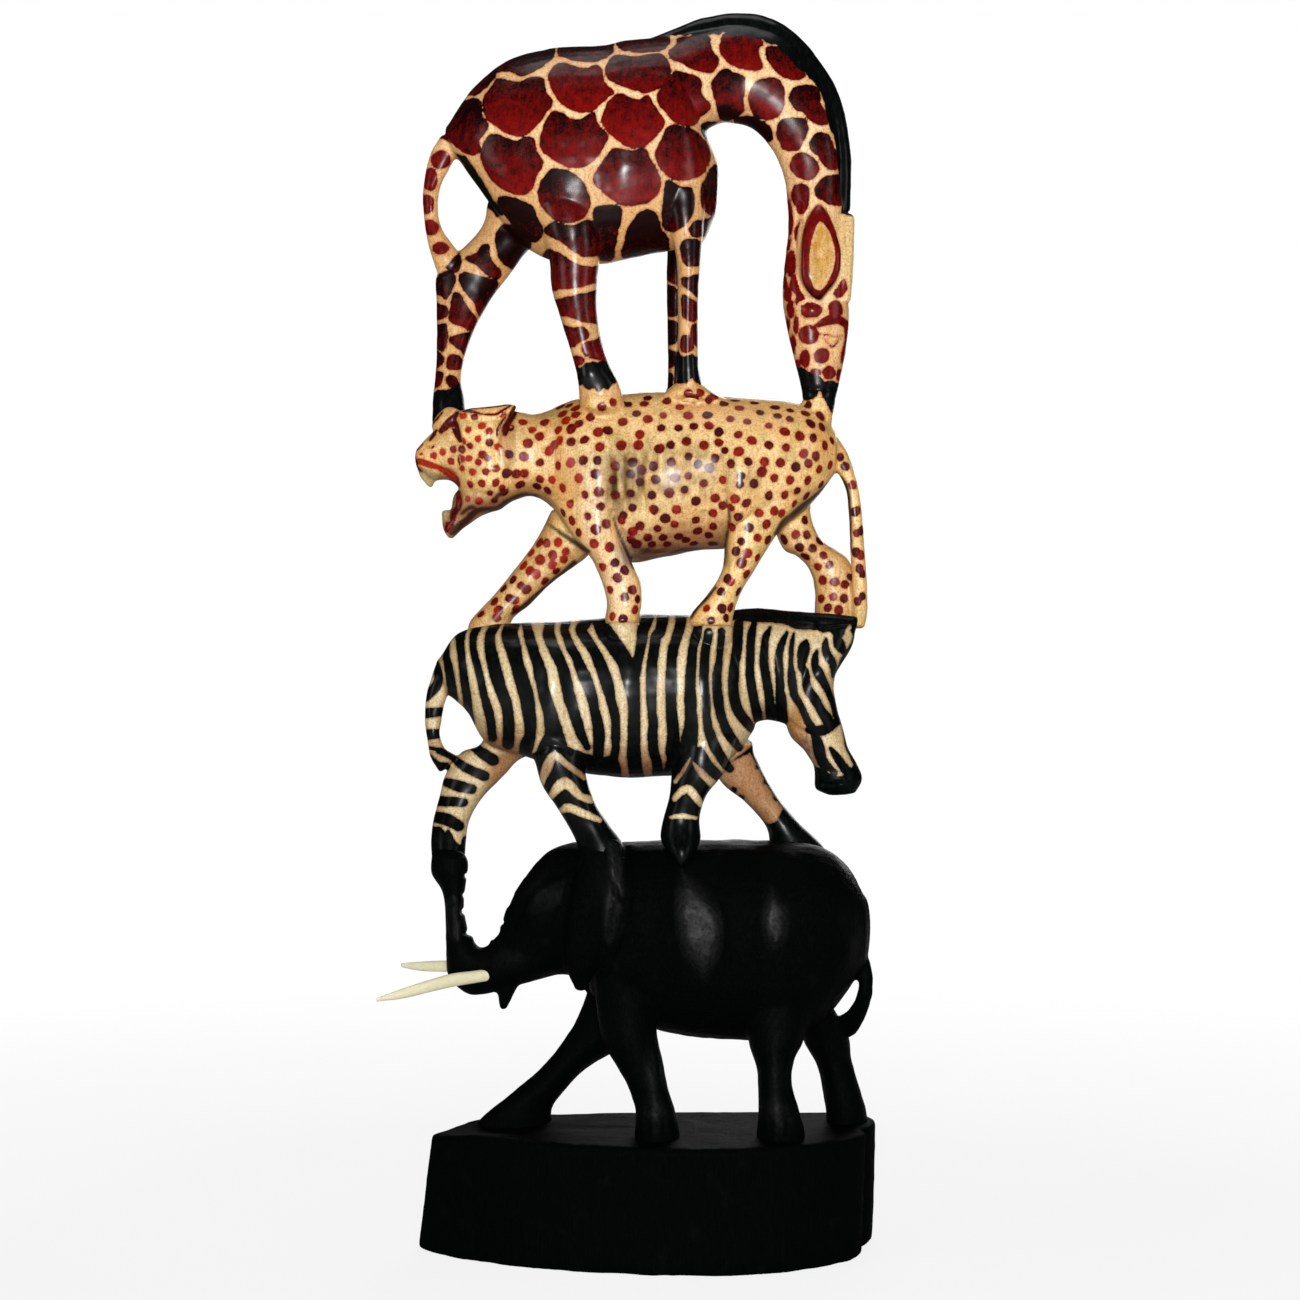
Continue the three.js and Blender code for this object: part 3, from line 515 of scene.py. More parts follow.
        (0.65, [(-75, 389.4), (-73, 391.2), (-70, 390.5), (-65, 388.8), (-61, 388), (-59.6, 386),
            (-61.6, 382), (-64.6, 376), (-66.4, 373), (-69, 378.5), (-72.5, 383), (-74.5, 386)]),
        (0.5, [(-86, 379.4), (-83, 378.4), (-80, 377), (-80, 374), (-83, 372.3), (-86, 372.6)]),
        (0.35, [(-78, 380.4), (-77, 383), (-74.5, 382), (-72, 377.5), (-69, 373.5), (-67.4, 370),
            (-69.4, 367.8), (-73, 369), (-77, 370.3), (-79, 372.4), (-78.6, 376)]),
        (0.5, [(-86, 369), (-82, 370.3), (-80, 369.7), (-80, 365), (-80.6, 361), (-82.5, 359.5),
            (-86, 363)]),
        (0.4, [(-79, 364.4), (-76, 366), (-69, 366.5), (-68.6, 361), (-71.4, 357.6), (-74, 359.4),
            (-77.5, 361.8)]),
        (0.5, [(-86, 361), (-82.5, 358.5), (-81, 356), (-82.5, 353.7), (-86, 353)]),
        (0.35, [(-80, 356), (-78.5, 358), (-75.5, 357.8), (-73.8, 355), (-74.4, 352.6), (-77.5, 352.2),
            (-79.8, 353.5)]),
        (0.4, [(-86, 350.4), (-82.3, 351), (-82.2, 347.4), (-84, 345.4), (-86, 346)]),
        (0.4, [(-80.4, 347.5), (-79, 349.5), (-76.4, 348.9), (-75, 346), (-78, 344.6)]),
    ],
    # the front legs cover one another: the near one's patches, then the far one's
    nearLegPatches=[
        (0.7, [(14.5, 395.6), (13.4, 400.4), (15, 403.6), (19, 404), (23, 402.4), (23.6, 395.6),
            (19.5, 393.8), (16, 393.8)]),
        (0.6, [(14, 386), (14, 389), (18, 389.5), (23.6, 390.4), (23.6, 381.6), (20.5, 381.2),
            (18, 383.4), (15.4, 385)]),
        (0.4, [(13.8, 380), (14.6, 382), (17, 380.8), (20.6, 377.6), (20.6, 373), (18.5, 371.4),
            (16, 372.4), (14, 374)]),
        (0.4, [(17.8, 369), (19.4, 370.4), (22.6, 370), (22.6, 362), (19.6, 361.6), (17.6, 365)]),
        (0.3, [(13.2, 361.5), (13.8, 365.4), (16, 366), (18.2, 363.6), (18.4, 360.5), (16, 358.9),
            (14, 359.2)]),
    ],
    farLegPatches=[
        (0.7, [(7, 399), (14, 399.6), (13.4, 392), (12, 386.4), (7, 390)]),
        (0.7, [(7, 385), (12, 384), (13.6, 378), (12, 374), (7, 374.4)]),
        (0.7, [(7, 371), (12, 371), (12.4, 366), (11, 362.8), (7, 363)]),
        (0.6, [(7, 359.6), (12.6, 358.6), (12, 354), (7, 353)]),
        (0.6, [(7, 350.6), (10, 350), (10, 345.6), (7, 345)]),
    ],
    # spots of the tail and the head as ovals (x, z, half width, half height)
    spots=[(-82.4, 436, 3.6, 3.6), (-87, 428, 2.8, 4.4), (-88.2, 418.4, 2.8, 3.6), (-86.8, 409, 3.6, 2.8),
        (-82.4, 400.6, 3, 2.2), (62.2, 406.4, 2.9, 4.9), (57, 412, 1.1, 7.5), (55.6, 402.6, 1.6, 2.6),
        (57.8, 394.6, 1.9, 4.5), (61.6, 396.4, 1.2, 2.8), (54.8, 393.8, 1.2, 3.2), (59.4, 386.6, 2, 3.6),
        (54.8, 387.4, 1, 2.4), (56.4, 382, 1.4, 2.8), (61.2, 380, 1.7, 3.4), (57.2, 376.4, 1.6, 3.6),
        (59.5, 369.6, 0.9, 3), (56.4, 370.4, 0.7, 2.6), (58.3, 362.6, 1.4, 3.6), (60.4, 354.2, 1.2, 1.5),
        (76.6, 385.2, 3.1, 4), (75.3, 376.4, 2.9, 3.2), (64.8, 366, 3.8, 3.5), (63.2, 356.6, 1.8, 3.2),
        (70, 357.8, 2.9, 3.1), (73, 350.8, 2.5, 2.6), (67.6, 351, 2, 1.4), (76.9, 350, 1.2, 2.1)],
    maneBlack=[(-4, 486), (2, 483.7), (6, 485.8), (20, 485.8), (30, 486.6), (40, 485.7), (52, 481.6),
        (60, 473), (64, 469.6), (70, 462.6), (73, 450), (75.6, 440), (76.6, 430), (77.6, 414.8), (92, 413),
        (96, 505), (-4, 505)],
    hooves=[
        [(-90, 342.6), (-84, 343.6), (-80, 344.4), (-73.5, 347), (-68, 347), (-68, 326), (-90, 326)],
        [(-33, 352.5), (-28.6, 353.4), (-26.5, 353.6), (-25, 355.5), (-21, 355), (-17, 356), (-14, 355),
            (-6, 353), (-6, 346.4), (-11.2, 346.8), (-13.2, 346), (-15.8, 344.6), (-17.4, 345),
            (-19, 343.8), (-21.8, 344.4), (-24.6, 344.6), (-26, 346.2), (-27.6, 345.4), (-33, 346.4)],
        [(11.2, 346), (11.4, 357), (12.2, 360), (14.5, 357.6), (18, 358.5), (22, 357), (28, 357),
            (28, 342.6), (24.6, 344.4), (22.8, 346.4), (21, 345.6), (19.6, 347), (18, 348.4),
            (16.2, 346.8), (14, 345.8), (12.6, 346.6)],
    ],
    muzzle=[(57, 355), (60.7, 353.2), (63.6, 352.6), (65, 351.4), (67.1, 350), (71.4, 347.9),
        (77.5, 346.8), (84, 346), (84, 340.2), (76, 340), (70.6, 340.6), (69.2, 343.8), (67.6, 340.8),
        (62, 340.2), (57, 340)],
    # the eye is an oval; the other dark carved places of the head are strokes (x, z, width)
    eye=(65.7, 375.9, 4.7, 3.4),
    folds=[
        [(67.4, 369.4, 1.4), (70, 370.8, 3), (73, 372, 4), (76.4, 372.2, 3.6), (79.2, 370.6, 3)],
        [(79.6, 371, 2), (80.2, 364, 2.4), (78.8, 358, 2.6), (78.2, 355, 1.4)],
        [(67.8, 367, 0.5), (70.8, 366.4, 0.6), (74, 365.6, 0.6), (78, 365.4, 0.4)],
        [(70.6, 365, 0.5), (72.6, 362.6, 0.7), (74.4, 361.2, 0.8), (76.6, 364, 0.5)],
    ],
    earRim=[(68.2, 418), (64.4, 413), (62.2, 406), (61.7, 398), (61.8, 389), (64.2, 383.6), (68.6, 379.9),
        (71.6, 382.6), (76.6, 390), (77.6, 398), (76.6, 404.6), (74.4, 410.4), (71.6, 415.8)],
    earHollow=[(69, 411.4), (66.6, 406.4), (65.2, 400), (65, 392), (66.2, 386.2), (68.6, 383.8),
        (71.6, 386), (74.6, 392.6), (75.2, 398.6), (74, 404.6), (71.8, 409)],
    # black painted where the far thigh's rear face lies in shade, a painted shadow along the crease under the
    # tail
    seatBlack=[(-76.4, 438.6), (-72.6, 437.4), (-67, 430), (-62.6, 422), (-57, 414.4), (-60, 413.2),
        (-64.6, 418.4), (-69.4, 427)],
)
giraffe["carving"]["mounds"] = [(0.9, 1.0, giraffe["earRim"])]


def paintGiraffe(piece):
    points, normals, seen = readSkin(piece)
    x, z = seen.T
    near = points[:, 1] < 0
    wander = 0.3 * grainOf(points, 5, 8) + 0.34 * grainOf(points, 1.8, 9)
    patch, tone = np.full(len(seen), chisel["reach"]), np.full(len(seen), 0.3)
    for name, keep in dict(patches=near | ~near, nearLegPatches=near, farLegPatches=~near).items():
        for shade, outline in giraffe[name]:
            field = onlyWhere(fromOutline(seen, roundOff(outline, 3)), keep)
            middle = np.mean([corner[1] for corner in outline])
            tone = np.where(field < 1, shade + 0.3 + 0.035 * (z - middle), tone)
            patch = np.minimum(patch, field)
    patch = joined(patch, *(fromOval(seen, *spot) for spot in giraffe["spots"])) + wander - 0.25
    # the ear's rim is red round a bare hollow, and a cream line parts it from the patches beside it
    rim, hollow = (fromOutline(seen, roundOff(giraffe[name])) for name in ("earRim", "earHollow"))
    onEar = np.abs(points[:, 1]) > 9.5
    beside = np.where(rim < 2.2, np.maximum(patch, 2.2 - rim), patch)
    patch = np.where(onEar & (rim < 1.5), cutBy(rim, hollow), beside)
    eyeField, folds = fromOval(seen, *giraffe["eye"]), fromStrokes(seen, giraffe["folds"])
    red = joined(patch, folds, eyeField)
    red = np.where((eyeField > 0) & (eyeField < 1.4) & (folds > 0), np.maximum(red, 1.4 - eyeField), red)
    # the black's edge is ragged, more so along the mane and the hooves than on the muzzle
    jag = 1.0 * grainOf(points * (1, 1, 0.4), 1.9, 21) + 0.5 * wander
    black = fromOutlines(seen, [giraffe["maneBlack"], *giraffe["hooves"]]) + jag
    black = joined(black, fromOutline(seen, giraffe["muzzle"]) + 0.7 * jag)
    # the painted shadow behind the far thigh is black too
    black = joined(black, fromOutline(seen, giraffe["seatBlack"]) + 0.4 * jag)
    # the red is darkest underneath and at the root of the neck: a painted shade
    neckRoot = ramp(6 - np.abs(x - 30), 0, 9) * between(z, 446, 450, 456, 460)
    tone = np.maximum(tone, ramp(-normals[:, 2], 0.1, 0.8) + neckRoot)
    tone = np.where(eyeField < 0, 0.3, tone)
    keepGround(piece, washed(
        groundOf(points, normals, giraffe, 31), giraffe,
        # painted shade, darker towards the bottom of the body
        thighColour=0.7 * ramp(452 - z, 0, 36) * ramp(40 - x, 0, 6),
        faceColour=0.4 * ramp(381 - z, 0, 6) * ramp(x, 54, 57),
        blockColour=ramp(x, 75.6, 77.4) * between(z, 383, 386, 415, 418),
        earColour=onEar * ramp(-hollow, -0.4, 1) * (0.75 + 0.35 * grainOf(points, 3, 35)),
    ))
    keepFields(piece, red=red, black=black, tone=tone)


leopard = dict(
    voxel=0.75, rounds=5,
    limbs=dict(
        body=(1, 1), headAndUpperJaw=(0, 1.5), lowerJaw=(0, 1.5), upperFang=(0, 0.5), lowerTooth=(0.3, 0),
        tail=(0.8, 0.8), brow=(0.8, 0.8), ear=(1, 1),
        nearFrontLeg=(0, 0), farFrontLeg=(0, 0), nearHindLeg=(0, 0), farHindLeg=(0, 0),
        hindHoofMound=(0.6, 0), frontHoofMound=(0.6, 0), farHoofMound=(0.6, 0), muzzleMound=(0.6, 0),
    ),
    pairs=("ear",),
    body=[(-44, 326, -41, 303, 9), (-37, 336, -37, 296, 17), (-26, 341, -27, 285, 23),
        (-10, 342.5, -10, 275.3, 25), (6, 343.5, 6, 277, 26), (22, 342.5, 22, 280, 26),
        (40, 341, 42, 282, 25.5), (56, 339.5, 58, 292, 23), (68, 336.5, 68, 301, 18),
        (75.3, 328, 75, 310, 10)],
    headAndUpperJaw=[(-30, 340, -32, 292, 19), (-43, 334.5, -44, 301, 16), (-52, 335.5, -53, 300, 16),
        (-62, 336.5, -61, 295.5, 17.5), (-71, 336.5, -70, 299, 16.5), (-80, 332, -78, 307.5, 12.5),
        (-87, 326, -86, 308, 10), (-91.5, 321, -91, 312, 7.5)],
    lowerJaw=[(-62, 312, -58, 296.5, 14), (-76, 303.5, -66, 293.8, 11.5), (-78.3, 296, -73.5, 288.5, 7.5),
        (-81.5, 290, -77.5, 284.6, 5.5)],
    upperFang=[(-92, 313.6, -83, 311, 3.8), (-90.9, 309.4, -84.8, 307.8, 3),
        (-87.7, 305.4, -85.6, 305.4, 1.7)],
    lowerTooth=[(-82.2, 295.5, -79, 295.8, 2.5), (-81.8, 289, -76, 289, 3.5)],
    tail=[(75.5, 327, 72, 316, 5), (80.7, 318, 76, 311, 4), (84.3, 306, 79.6, 304, 3.5),
        (86.3, 292, 81, 292, 3.3), (87.3, 278, 81.5, 278, 3.5, 2), (88, 264, 82, 264, 4, 4),
        (88, 256, 82, 255, 4, 5), (87, 249.5, 82, 249.5, 3.5, 5)],
    brow=[(-86, 330.8, -84.8, 327, 3, -4), (-83.8, 334.4, -81, 327, 4.6, -6.5),
        (-80.4, 337, -77.4, 328, 5.2, -7.5), (-77.2, 337, -74.6, 330, 5, -8.5),
        (-74.6, 335.4, -72.6, 331, 3.4, -9)],
    ear=[(-76.6, 335.2, -76, 331, 3, -13.6), (-71, 336.6, -73, 320, 4.4, -13.4),
        (-65, 337.2, -66, 315, 4.8, -13.4), (-60, 337.8, -60.6, 317, 4.8, -13.8),
        (-56.4, 338.3, -57.8, 328, 4.4, -14.2), (-52.8, 338, -53.5, 335, 2.5, -14)],
    nearFrontLeg=[(-38, 300, -6, 298, 12, -10), (-30, 286, -8, 285, 11, -12),
        (-22.5, 277, -6.5, 276, 9.5, -13), (-18, 267, -2.5, 267, 8.5, -13), (-16, 259, -2, 259, 8.3, -13),
        (-16.6, 253, -3, 253.6, 8.5, -13), (-16.4, 251, -3.4, 251, 8.3, -13), (-16, 247, -4, 247, 4, -8)],
    farFrontLeg=[(-38, 296, -14, 288, 10.5, 9), (-44.5, 283.5, -25, 276.5, 9.5, 12),
        (-54, 271, -37, 268, 8.5, 12), (-62, 261, -46.5, 258.5, 8, 12), (-70, 252.5, -54, 252, 8, 11),
        (-72, 248, -54, 245, 8, 10)],
    nearHindLeg=[(32, 300, 62, 300, 11.5, -10), (31, 281, 50.5, 284, 10, -12), (29.5, 271, 43, 272, 9, -13),
        (23.5, 261.5, 37.5, 262.5, 8.5, -13), (17.5, 254, 34.5, 254, 8.5, -13),
        (17.5, 250, 34, 250, 8.5, -13), (18, 247, 33, 247, 4, -8)],
    farHindLeg=[(48, 296, 65.5, 302, 10.5, 10), (54, 281, 65.8, 293.5, 9.5, 12), (60, 277.5, 70, 284, 9, 12),
        (65, 272, 80, 277, 8.5, 12), (67, 264, 83.5, 268, 8, 11), (67, 256, 83, 257, 8, 10),
        (67, 248, 83, 248, 8, 8)],
    # mounds left from the leopard's back under the giraffe's hooves and muzzle
    hindHoofMound=[(-25.6, 344.4, -12.6, 344.4, 5.5, -12), (-26.8, 341.6, -10.4, 341.8, 8.2, -12),
        (-26.4, 337, -8.6, 337.4, 9.2, -12), (-23, 331, -11, 331, 6.6, -9)],
    frontHoofMound=[(12.4, 347, 20.4, 347.4, 5, -9), (9.9, 345.4, 23, 345.8, 6.8, -9),
        (7.4, 343, 27, 342.8, 8.6, -8.6), (4, 339, 33, 339, 8.4, -6), (8, 333, 30, 333, 5, -3)],
    farHoofMound=[(8, 344.6, 15.6, 344.6, 7.2, 9), (7.4, 338, 17, 338, 8, 8)],
    muzzleMound=[(62.4, 341.4, 75.6, 341, 8.4, 0), (61.8, 336, 75, 336, 9, 0), (62, 329, 74, 329, 9, 0)],
    carving=dict(
        swells=[(-20, 300, 6, 20, 2.4), (-29, 318, 12, 13, 0.8), (37, 302, 6, 20, 2.6),
            (43, 318, 12, 13, 0.8), (-4, 297, 7, 9, -1.4), (24, 296, 6, 10, -1.2), (8, 309, 12, 12, 0.6),
            (-64, 326, 7, 5, 0.8), (-70, 303, 6, 6, 0.6), (-80, 329.5, 4, 3, 1.0), (-44, 315, 6, 14, -1.0),
            (-25, 252, 7, 4, 0.4), (-10, 253, 7, 4, 0.5), (25, 254, 8, 4, 0.5), (-78, 321, 5, 4, 0.6)],
        cuts=[
            (1.1, 1.3, [(-13.5, 295), (-11, 287), (-8, 279), (-5.5, 273)]),
            (1.0, 1.3, [(31.2, 303), (32.6, 295), (31.6, 286), (30.6, 279)]),
            (0.8, 1.0, [(-92, 315.5), (-85, 313), (-79, 311), (-76.3, 308), (-75.3, 303), (-75.2, 297)]),
            (0.7, 0.9, [(-76.5, 332), (-75.5, 326), (-74.6, 322)]),
            (0.7, 1.0, [(-53.5, 334), (-60, 332.6), (-68, 332), (-77, 333)]),
            (0.6, 1.0, [(-82, 327), (-79.5, 329), (-77, 330)]),
            (0.7, 1.2, [(-60.5, 332), (-60.8, 324), (-60, 315)]),
        ],
        polish=(0.42, 0.12), dull=[(-11, 307, 7, 12)], seed=6,
    ),
    # pale is a painted light for the surfaces that face the eye, and shade a painted shade for those that
    # look down
    cream=(0.90, 0.57, 0.21), warm=(0.76, 0.38, 0.12), pale=(0.99, 0.77, 0.40), shade=(0.24, 0.095, 0.038),
    worn=(0.22, 0.115, 0.018),  # the olive brown where the flank's varnish has worn
    wornPlaces=[(8, 311, 24, 13, 0.95), (-11, 307, 9, 12, 0.75)],
    scuffed=(0.07, 0.045, 0.016), scuffedPlaces=[(-12.6, 306.5, 4.6, 10, 1), (-4.5, 307, 2, 9, 0.8)],
    soiled=(0.50, 0.36, 0.11), stained=(0.34, 0.16, 0.06),
    stainedPlaces=[(-79, 333, 5, 5, 1), (-70, 316, 9, 4, 0.7), (-77, 324, 3, 6, 0.7)],
    # a pale painted sheen on the near front leg and its shoulder, where they face the light
    rubbed=(0.95, 0.74, 0.50), rubbedPlaces=[(-12, 268, 6, 16, 1), (-22, 300, 4, 18, 1)],
    # painted shade under the jaw and along the belly, darkest at the belly's lower edge
    throatShade=(0.24, 0.095, 0.038), bellyBrown=(0.30, 0.13, 0.06), bellyDark=(0.045, 0.015, 0.009),
    bellyAcross=(-14, -8, 30, 34),
    # the cheek colour is a painted shade on the cheek's side plane
    cheekColour=(0.42, 0.22, 0.08), toothColour=(0.46, 0.36, 0.16), farLegColour=(0.60, 0.33, 0.13),
    # the edge colour is the dark brown of a painted shade in creases and under things
    edgeColour=(0.028, 0.009, 0.006), duskyDots=(-9, 306, 13, 14, 0.5),
    redLight=(0.46, 0.024, 0.006, 1), redDark=(0.05, 0.003, 0.004, 1), fringe=(0.70, 0.36, 0.24, 1),
    patchy=0.8,
    # the dots on the side nearest the eye (x, z), from the back down to the belly, then the legs and the tail
    dots=[(-35.2, 337.9), (-31.7, 338.5), (-28.8, 337.6), (-34, 335.3), (-28.9, 334.7), (-49.5, 332),
        (-41.5, 331.8), (-32.9, 332.7), (-27.5, 331.5), (-22.9, 333.7), (-18.4, 336.8), (-12.9, 339.3),
        (-7.7, 339.2), (-1.2, 339.4), (0.3, 341.6), (7.9, 340), (13.1, 338.1), (16.3, 341.9), (18.5, 339.7),
        (22, 343.7), (25, 339.5), (27.3, 342.7), (30.5, 339.2), (35.3, 340.9), (37.7, 337.4), (42.7, 339.7),
        (45.3, 335.9), (-54.3, 329.5), (-45.9, 328.8), (-36.3, 328.5), (-30.9, 329.2), (-43.2, 325.9),
        (-19.7, 328), (-15.2, 328.4), (-10.3, 331.7), (-4.7, 335.3), (0, 333.3), (6.8, 334.5), (16.7, 334.7),
        (24.3, 334.9), (32.7, 333.1), (40.9, 331.9), (48.9, 330.6), (-47.7, 323.5), (-37.7, 322.9),
        (-35.8, 324.3), (-31.4, 323.1), (-25.7, 324.5), (-18.7, 322.1), (-10.9, 322.3), (-4.1, 322.3),
        (-2.9, 327.1), (5.2, 329.3), (11.9, 329.5), (18.7, 329.9), (24.5, 330.5), (29.1, 328.2),
        (36.2, 327.1), (42.7, 324.3), (49, 322.7), (-54.8, 318.9), (-48.3, 317.1), (-40, 319.6),
        (-26, 316.5), (-20.3, 316.7), (4.1, 320.9), (9, 322.7), (16, 324.3), (22.5, 322.7), (28.3, 323.5),
        (30.7, 320.5), (36, 320.1), (-43.5, 314.9), (-36.3, 313.5), (-31.6, 314.7), (-12.5, 314.2),
        (-6.3, 315.9), (-2.6, 312.9), (2.3, 314.3), (10, 315.7), (16.7, 318.1), (21.1, 314.9), (27.1, 317.3),
        (32.7, 314.7), (41.3, 315.7), (47.8, 315.5), (-55.2, 310.5), (-51.9, 309.5), (-48.6, 309.9),
        (-43.8, 308.1), (-38.9, 307.7), (-28.4, 308.6), (-21.5, 310), (-13.1, 307.4), (-6.8, 309.8),
        (-3.5, 306.6), (2.9, 307.5), (10.6, 308.5), (17.4, 309.6), (24.8, 312.3), (23.2, 305.9),
        (29.9, 307.3), (37.7, 309.2), (38, 305.6), (46.6, 311.2), (43.5, 305.9), (49.2, 301.3),
        (-50.7, 305.2), (-44.3, 304.6), (-40.7, 303.5), (-34.5, 304.3), (-31.6, 299.1), (-25.7, 301.7),
        (-19.9, 302.7), (-13.1, 300.9), (-6.5, 302), (1.4, 301.5), (8.3, 302.5), (15.2, 303.5),
        (19.5, 298.7), (26.4, 300.7), (29.5, 297.3), (32.5, 296.9), (34.9, 299.7), (40.5, 298.3),
        (-34.5, 294.4), (-30.8, 291.2), (-24.3, 293.9), (-18.2, 296.8), (-15.7, 290.7), (-9.3, 292.7),
        (-10.6, 291.4), (-5.3, 296.2), (2.8, 295.2), (12.3, 295.6), (26.1, 294.3), (7, 292.2), (19.5, 291),
        (35.9, 292.5), (45.3, 294.5), (-2.9, 288.7), (4.2, 287.8), (11.3, 289.2), (26.1, 288.9),
        (33.1, 288.9), (41.1, 289.3), (48.8, 290.4), (-5.7, 286.5), (0.8, 284.2), (6.7, 284.3),
        (13.3, 284.7), (20.3, 286.7), (24.4, 285), (-6.9, 283.6), (15.3, 283), (8, 281.4), (2.2, 281.6),
        (19, 281.6), (-4.4, 281.4), (26.4, 281.6), (36.8, 283.3), (44.9, 284.3), (49.3, 283.6), (51.5, 338),
        (57.8, 336.6), (63.6, 338.5), (63.9, 335.3), (52.2, 334.6), (57.6, 333.2), (69.7, 334.3),
        (65.9, 331.4), (70.9, 329.6), (55.5, 327.9), (61.6, 326.3), (67.5, 325.2), (74.8, 324.3),
        (72.1, 321.7), (56.5, 321), (63.4, 319.1), (68.4, 317.2), (78, 316.8), (53.9, 315.8), (59.9, 313),
        (65.2, 314.3), (69.8, 311.9), (74.1, 313.6), (51.6, 308.2), (57.6, 307.2), (65.1, 307),
        (60.7, 303.4), (70.2, 305.5), (55.7, 301.5), (64.5, 301), (59.8, 298.1), (51.6, 295.3),
        (54.9, 294.5), (-21.3, 287.9), (-28, 286.5), (-21.2, 281.5), (-14.7, 280.3), (-18.5, 272.6),
        (-12.3, 274.3), (-7.8, 271.9), (-11.8, 267.8), (-15.6, 263.7), (-5.4, 264.4), (-9.2, 260.2),
        (-2.8, 260.2), (-14.5, 254.3), (-9.3, 253), (-3.7, 255.8), (34.7, 279), (41.2, 278.9), (45.1, 276.5),
        (37.3, 274.3), (31.3, 269.2), (33.1, 266.9), (40.9, 269.9), (29, 263.6), (37.3, 262.7),
        (23.5, 257.5), (30.7, 256.5), (34.4, 256.6), (25.2, 252.8), (32.3, 252.8), (-43.7, 283.5),
        (-40.8, 283.1), (-36, 282.2), (-47.2, 279.3), (-43.5, 276.6), (-38.5, 277.7), (-32.3, 278.4),
        (-33.1, 275.3), (-50.3, 274.3), (-47.7, 272), (-38, 273.1), (-35.5, 270.9), (-54, 269),
        (-43.7, 269.7), (-40.1, 266.9), (-51.1, 266.3), (-47.3, 263.9), (-58.3, 265), (-55.3, 261),
        (-52, 259.1), (-61.4, 260.2), (-67.3, 254.9), (-59.5, 256.7), (-60.4, 254), (-51.8, 255.8),
        (58.8, 291.8), (64.2, 292.2), (58.7, 285.7), (64.3, 286.5), (53.9, 283.8), (60.3, 280.2),
        (69.5, 284.3), (66.4, 280.5), (71.1, 278.1), (62.8, 276.6), (67.8, 272.7), (73.8, 273.8),
        (69.6, 267.4), (75.5, 267.6), (80, 266.9), (80.7, 269.5), (69, 261.3), (74.1, 261.7), (79.6, 261.1),
        (71.4, 257.3), (77.5, 256.6), (83.2, 259), (79.7, 312.9), (82.7, 306.2), (83.7, 294.7),
        (83.7, 286.3), (82.9, 278.6), (85.4, 271.9), (87, 269.7), (86.7, 277.7), (86.2, 287.3),
        (87.2, 261.1), (85.3, 296.5)],
    headDots=[(-74, 333), (-66.3, 330.7), (-72.2, 328.7), (-62.9, 328.1), (-68.2, 324), (-74.3, 323.4),
        (-63.7, 322.5), (-71.5, 321.3), (-82.6, 319.5), (-86.2, 317.8), (-78.2, 320), (-74.5, 320),
        (-75.2, 316.7), (-66.3, 317.9), (-72.2, 316.3), (-79, 315.1), (-68.2, 314.9), (-63.4, 316.3),
        (-59.1, 320.4), (-59.5, 312.7), (-74.6, 312), (-70.3, 310.8), (-64.7, 310.5), (-66.9, 306.1),
        (-71.6, 305.5), (-60.4, 306), (-72.2, 300.1), (-66.9, 299.3), (-62.8, 301.9), (-57.8, 303.8),
        (-60.9, 298.9), (-56.4, 302), (-69.3, 334.4), (-57.5, 333.8), (-91.2, 317.4)],
    dotGap=5.6, dotSize=(1.6, 2.04), headDot=(1.25, 1.6),
    lips=[
        [(-92.4, 315.4, 2.2), (-90.6, 315.3, 2.6), (-88, 314.5, 2.6), (-85, 313.4, 2.4),
            (-82, 312.2, 2.2), (-79.4, 310.8, 2.6), (-77.2, 308.8, 3), (-75.8, 306.4, 2.2),
            (-75.9, 304.6, 1.6), (-75.4, 302, 2), (-75.2, 299, 2.6), (-75.6, 297, 2.4),
            (-77.2, 294.6, 2.6), (-78.4, 291.6, 3), (-79.6, 288.4, 3)],
    ],
    # dark strokes of the nose, the ear, the brow and the cheek; the two behind the ear, down its rear edge,
    # are a painted shadow
    marks=[
        [(-92.8, 317.4, 0.8), (-92.8, 315, 1.4), (-92.2, 313.2, 1.6), (-90, 311.4, 0.6)],
        [(-73.4, 335.4, 1), (-71, 335.6, 1.6), (-69, 335.2, 1), (-66, 334.4, 0.8), (-61, 334.2, 1),
            (-58, 335.6, 1), (-54.6, 337.8, 0.8)],
        # painted shadow behind the ear
        [(-52.8, 337.4, 1.2), (-53.4, 335, 3), (-55, 331.8, 2.4), (-56.4, 328.6, 3), (-56.8, 326.4, 2)],
        [(-77.4, 333, 1.4), (-76.8, 330, 2.8), (-76, 326.6, 2.8), (-74.6, 323.6, 1.6)],
        [(-82.4, 327.4, 2), (-80.4, 329.7, 3.2), (-78, 332.2, 3), (-75.8, 334.7, 1.6)],
        [(-86.2, 330.2, 0.5), (-84.4, 332, 0.9), (-81.8, 335, 0.6)],
        [(-72, 336.4, 0.4), (-63, 337.2, 0.7), (-54, 338.3, 0.4)],
        # painted shadow behind the ear
        [(-56.6, 333.4, 0.6), (-58.6, 330.4, 1), (-59.6, 328, 1.6), (-60, 325.6, 0.8)],
        [(-92, 320.4, 1), (-90, 322.4, 0.7)], [(-86.8, 324, 1), (-85.2, 326.2, 1.4), (-84.3, 328, 0.8)],
        [(-87.4, 321.1, 0.5), (-86, 321, 0.8), (-85, 321.8, 0.5)],
        [(-75, 318, 0.4), (-75.3, 316, 1), (-74.8, 313.8, 0.4)],
    ],
    # the black of the giraffe's muzzle runs on down the mound that it stands on
    moundBlack=[(58, 346), (61.8, 340.6), (64, 339.6), (66.5, 340.2), (68.6, 342.4), (70.4, 340.8),
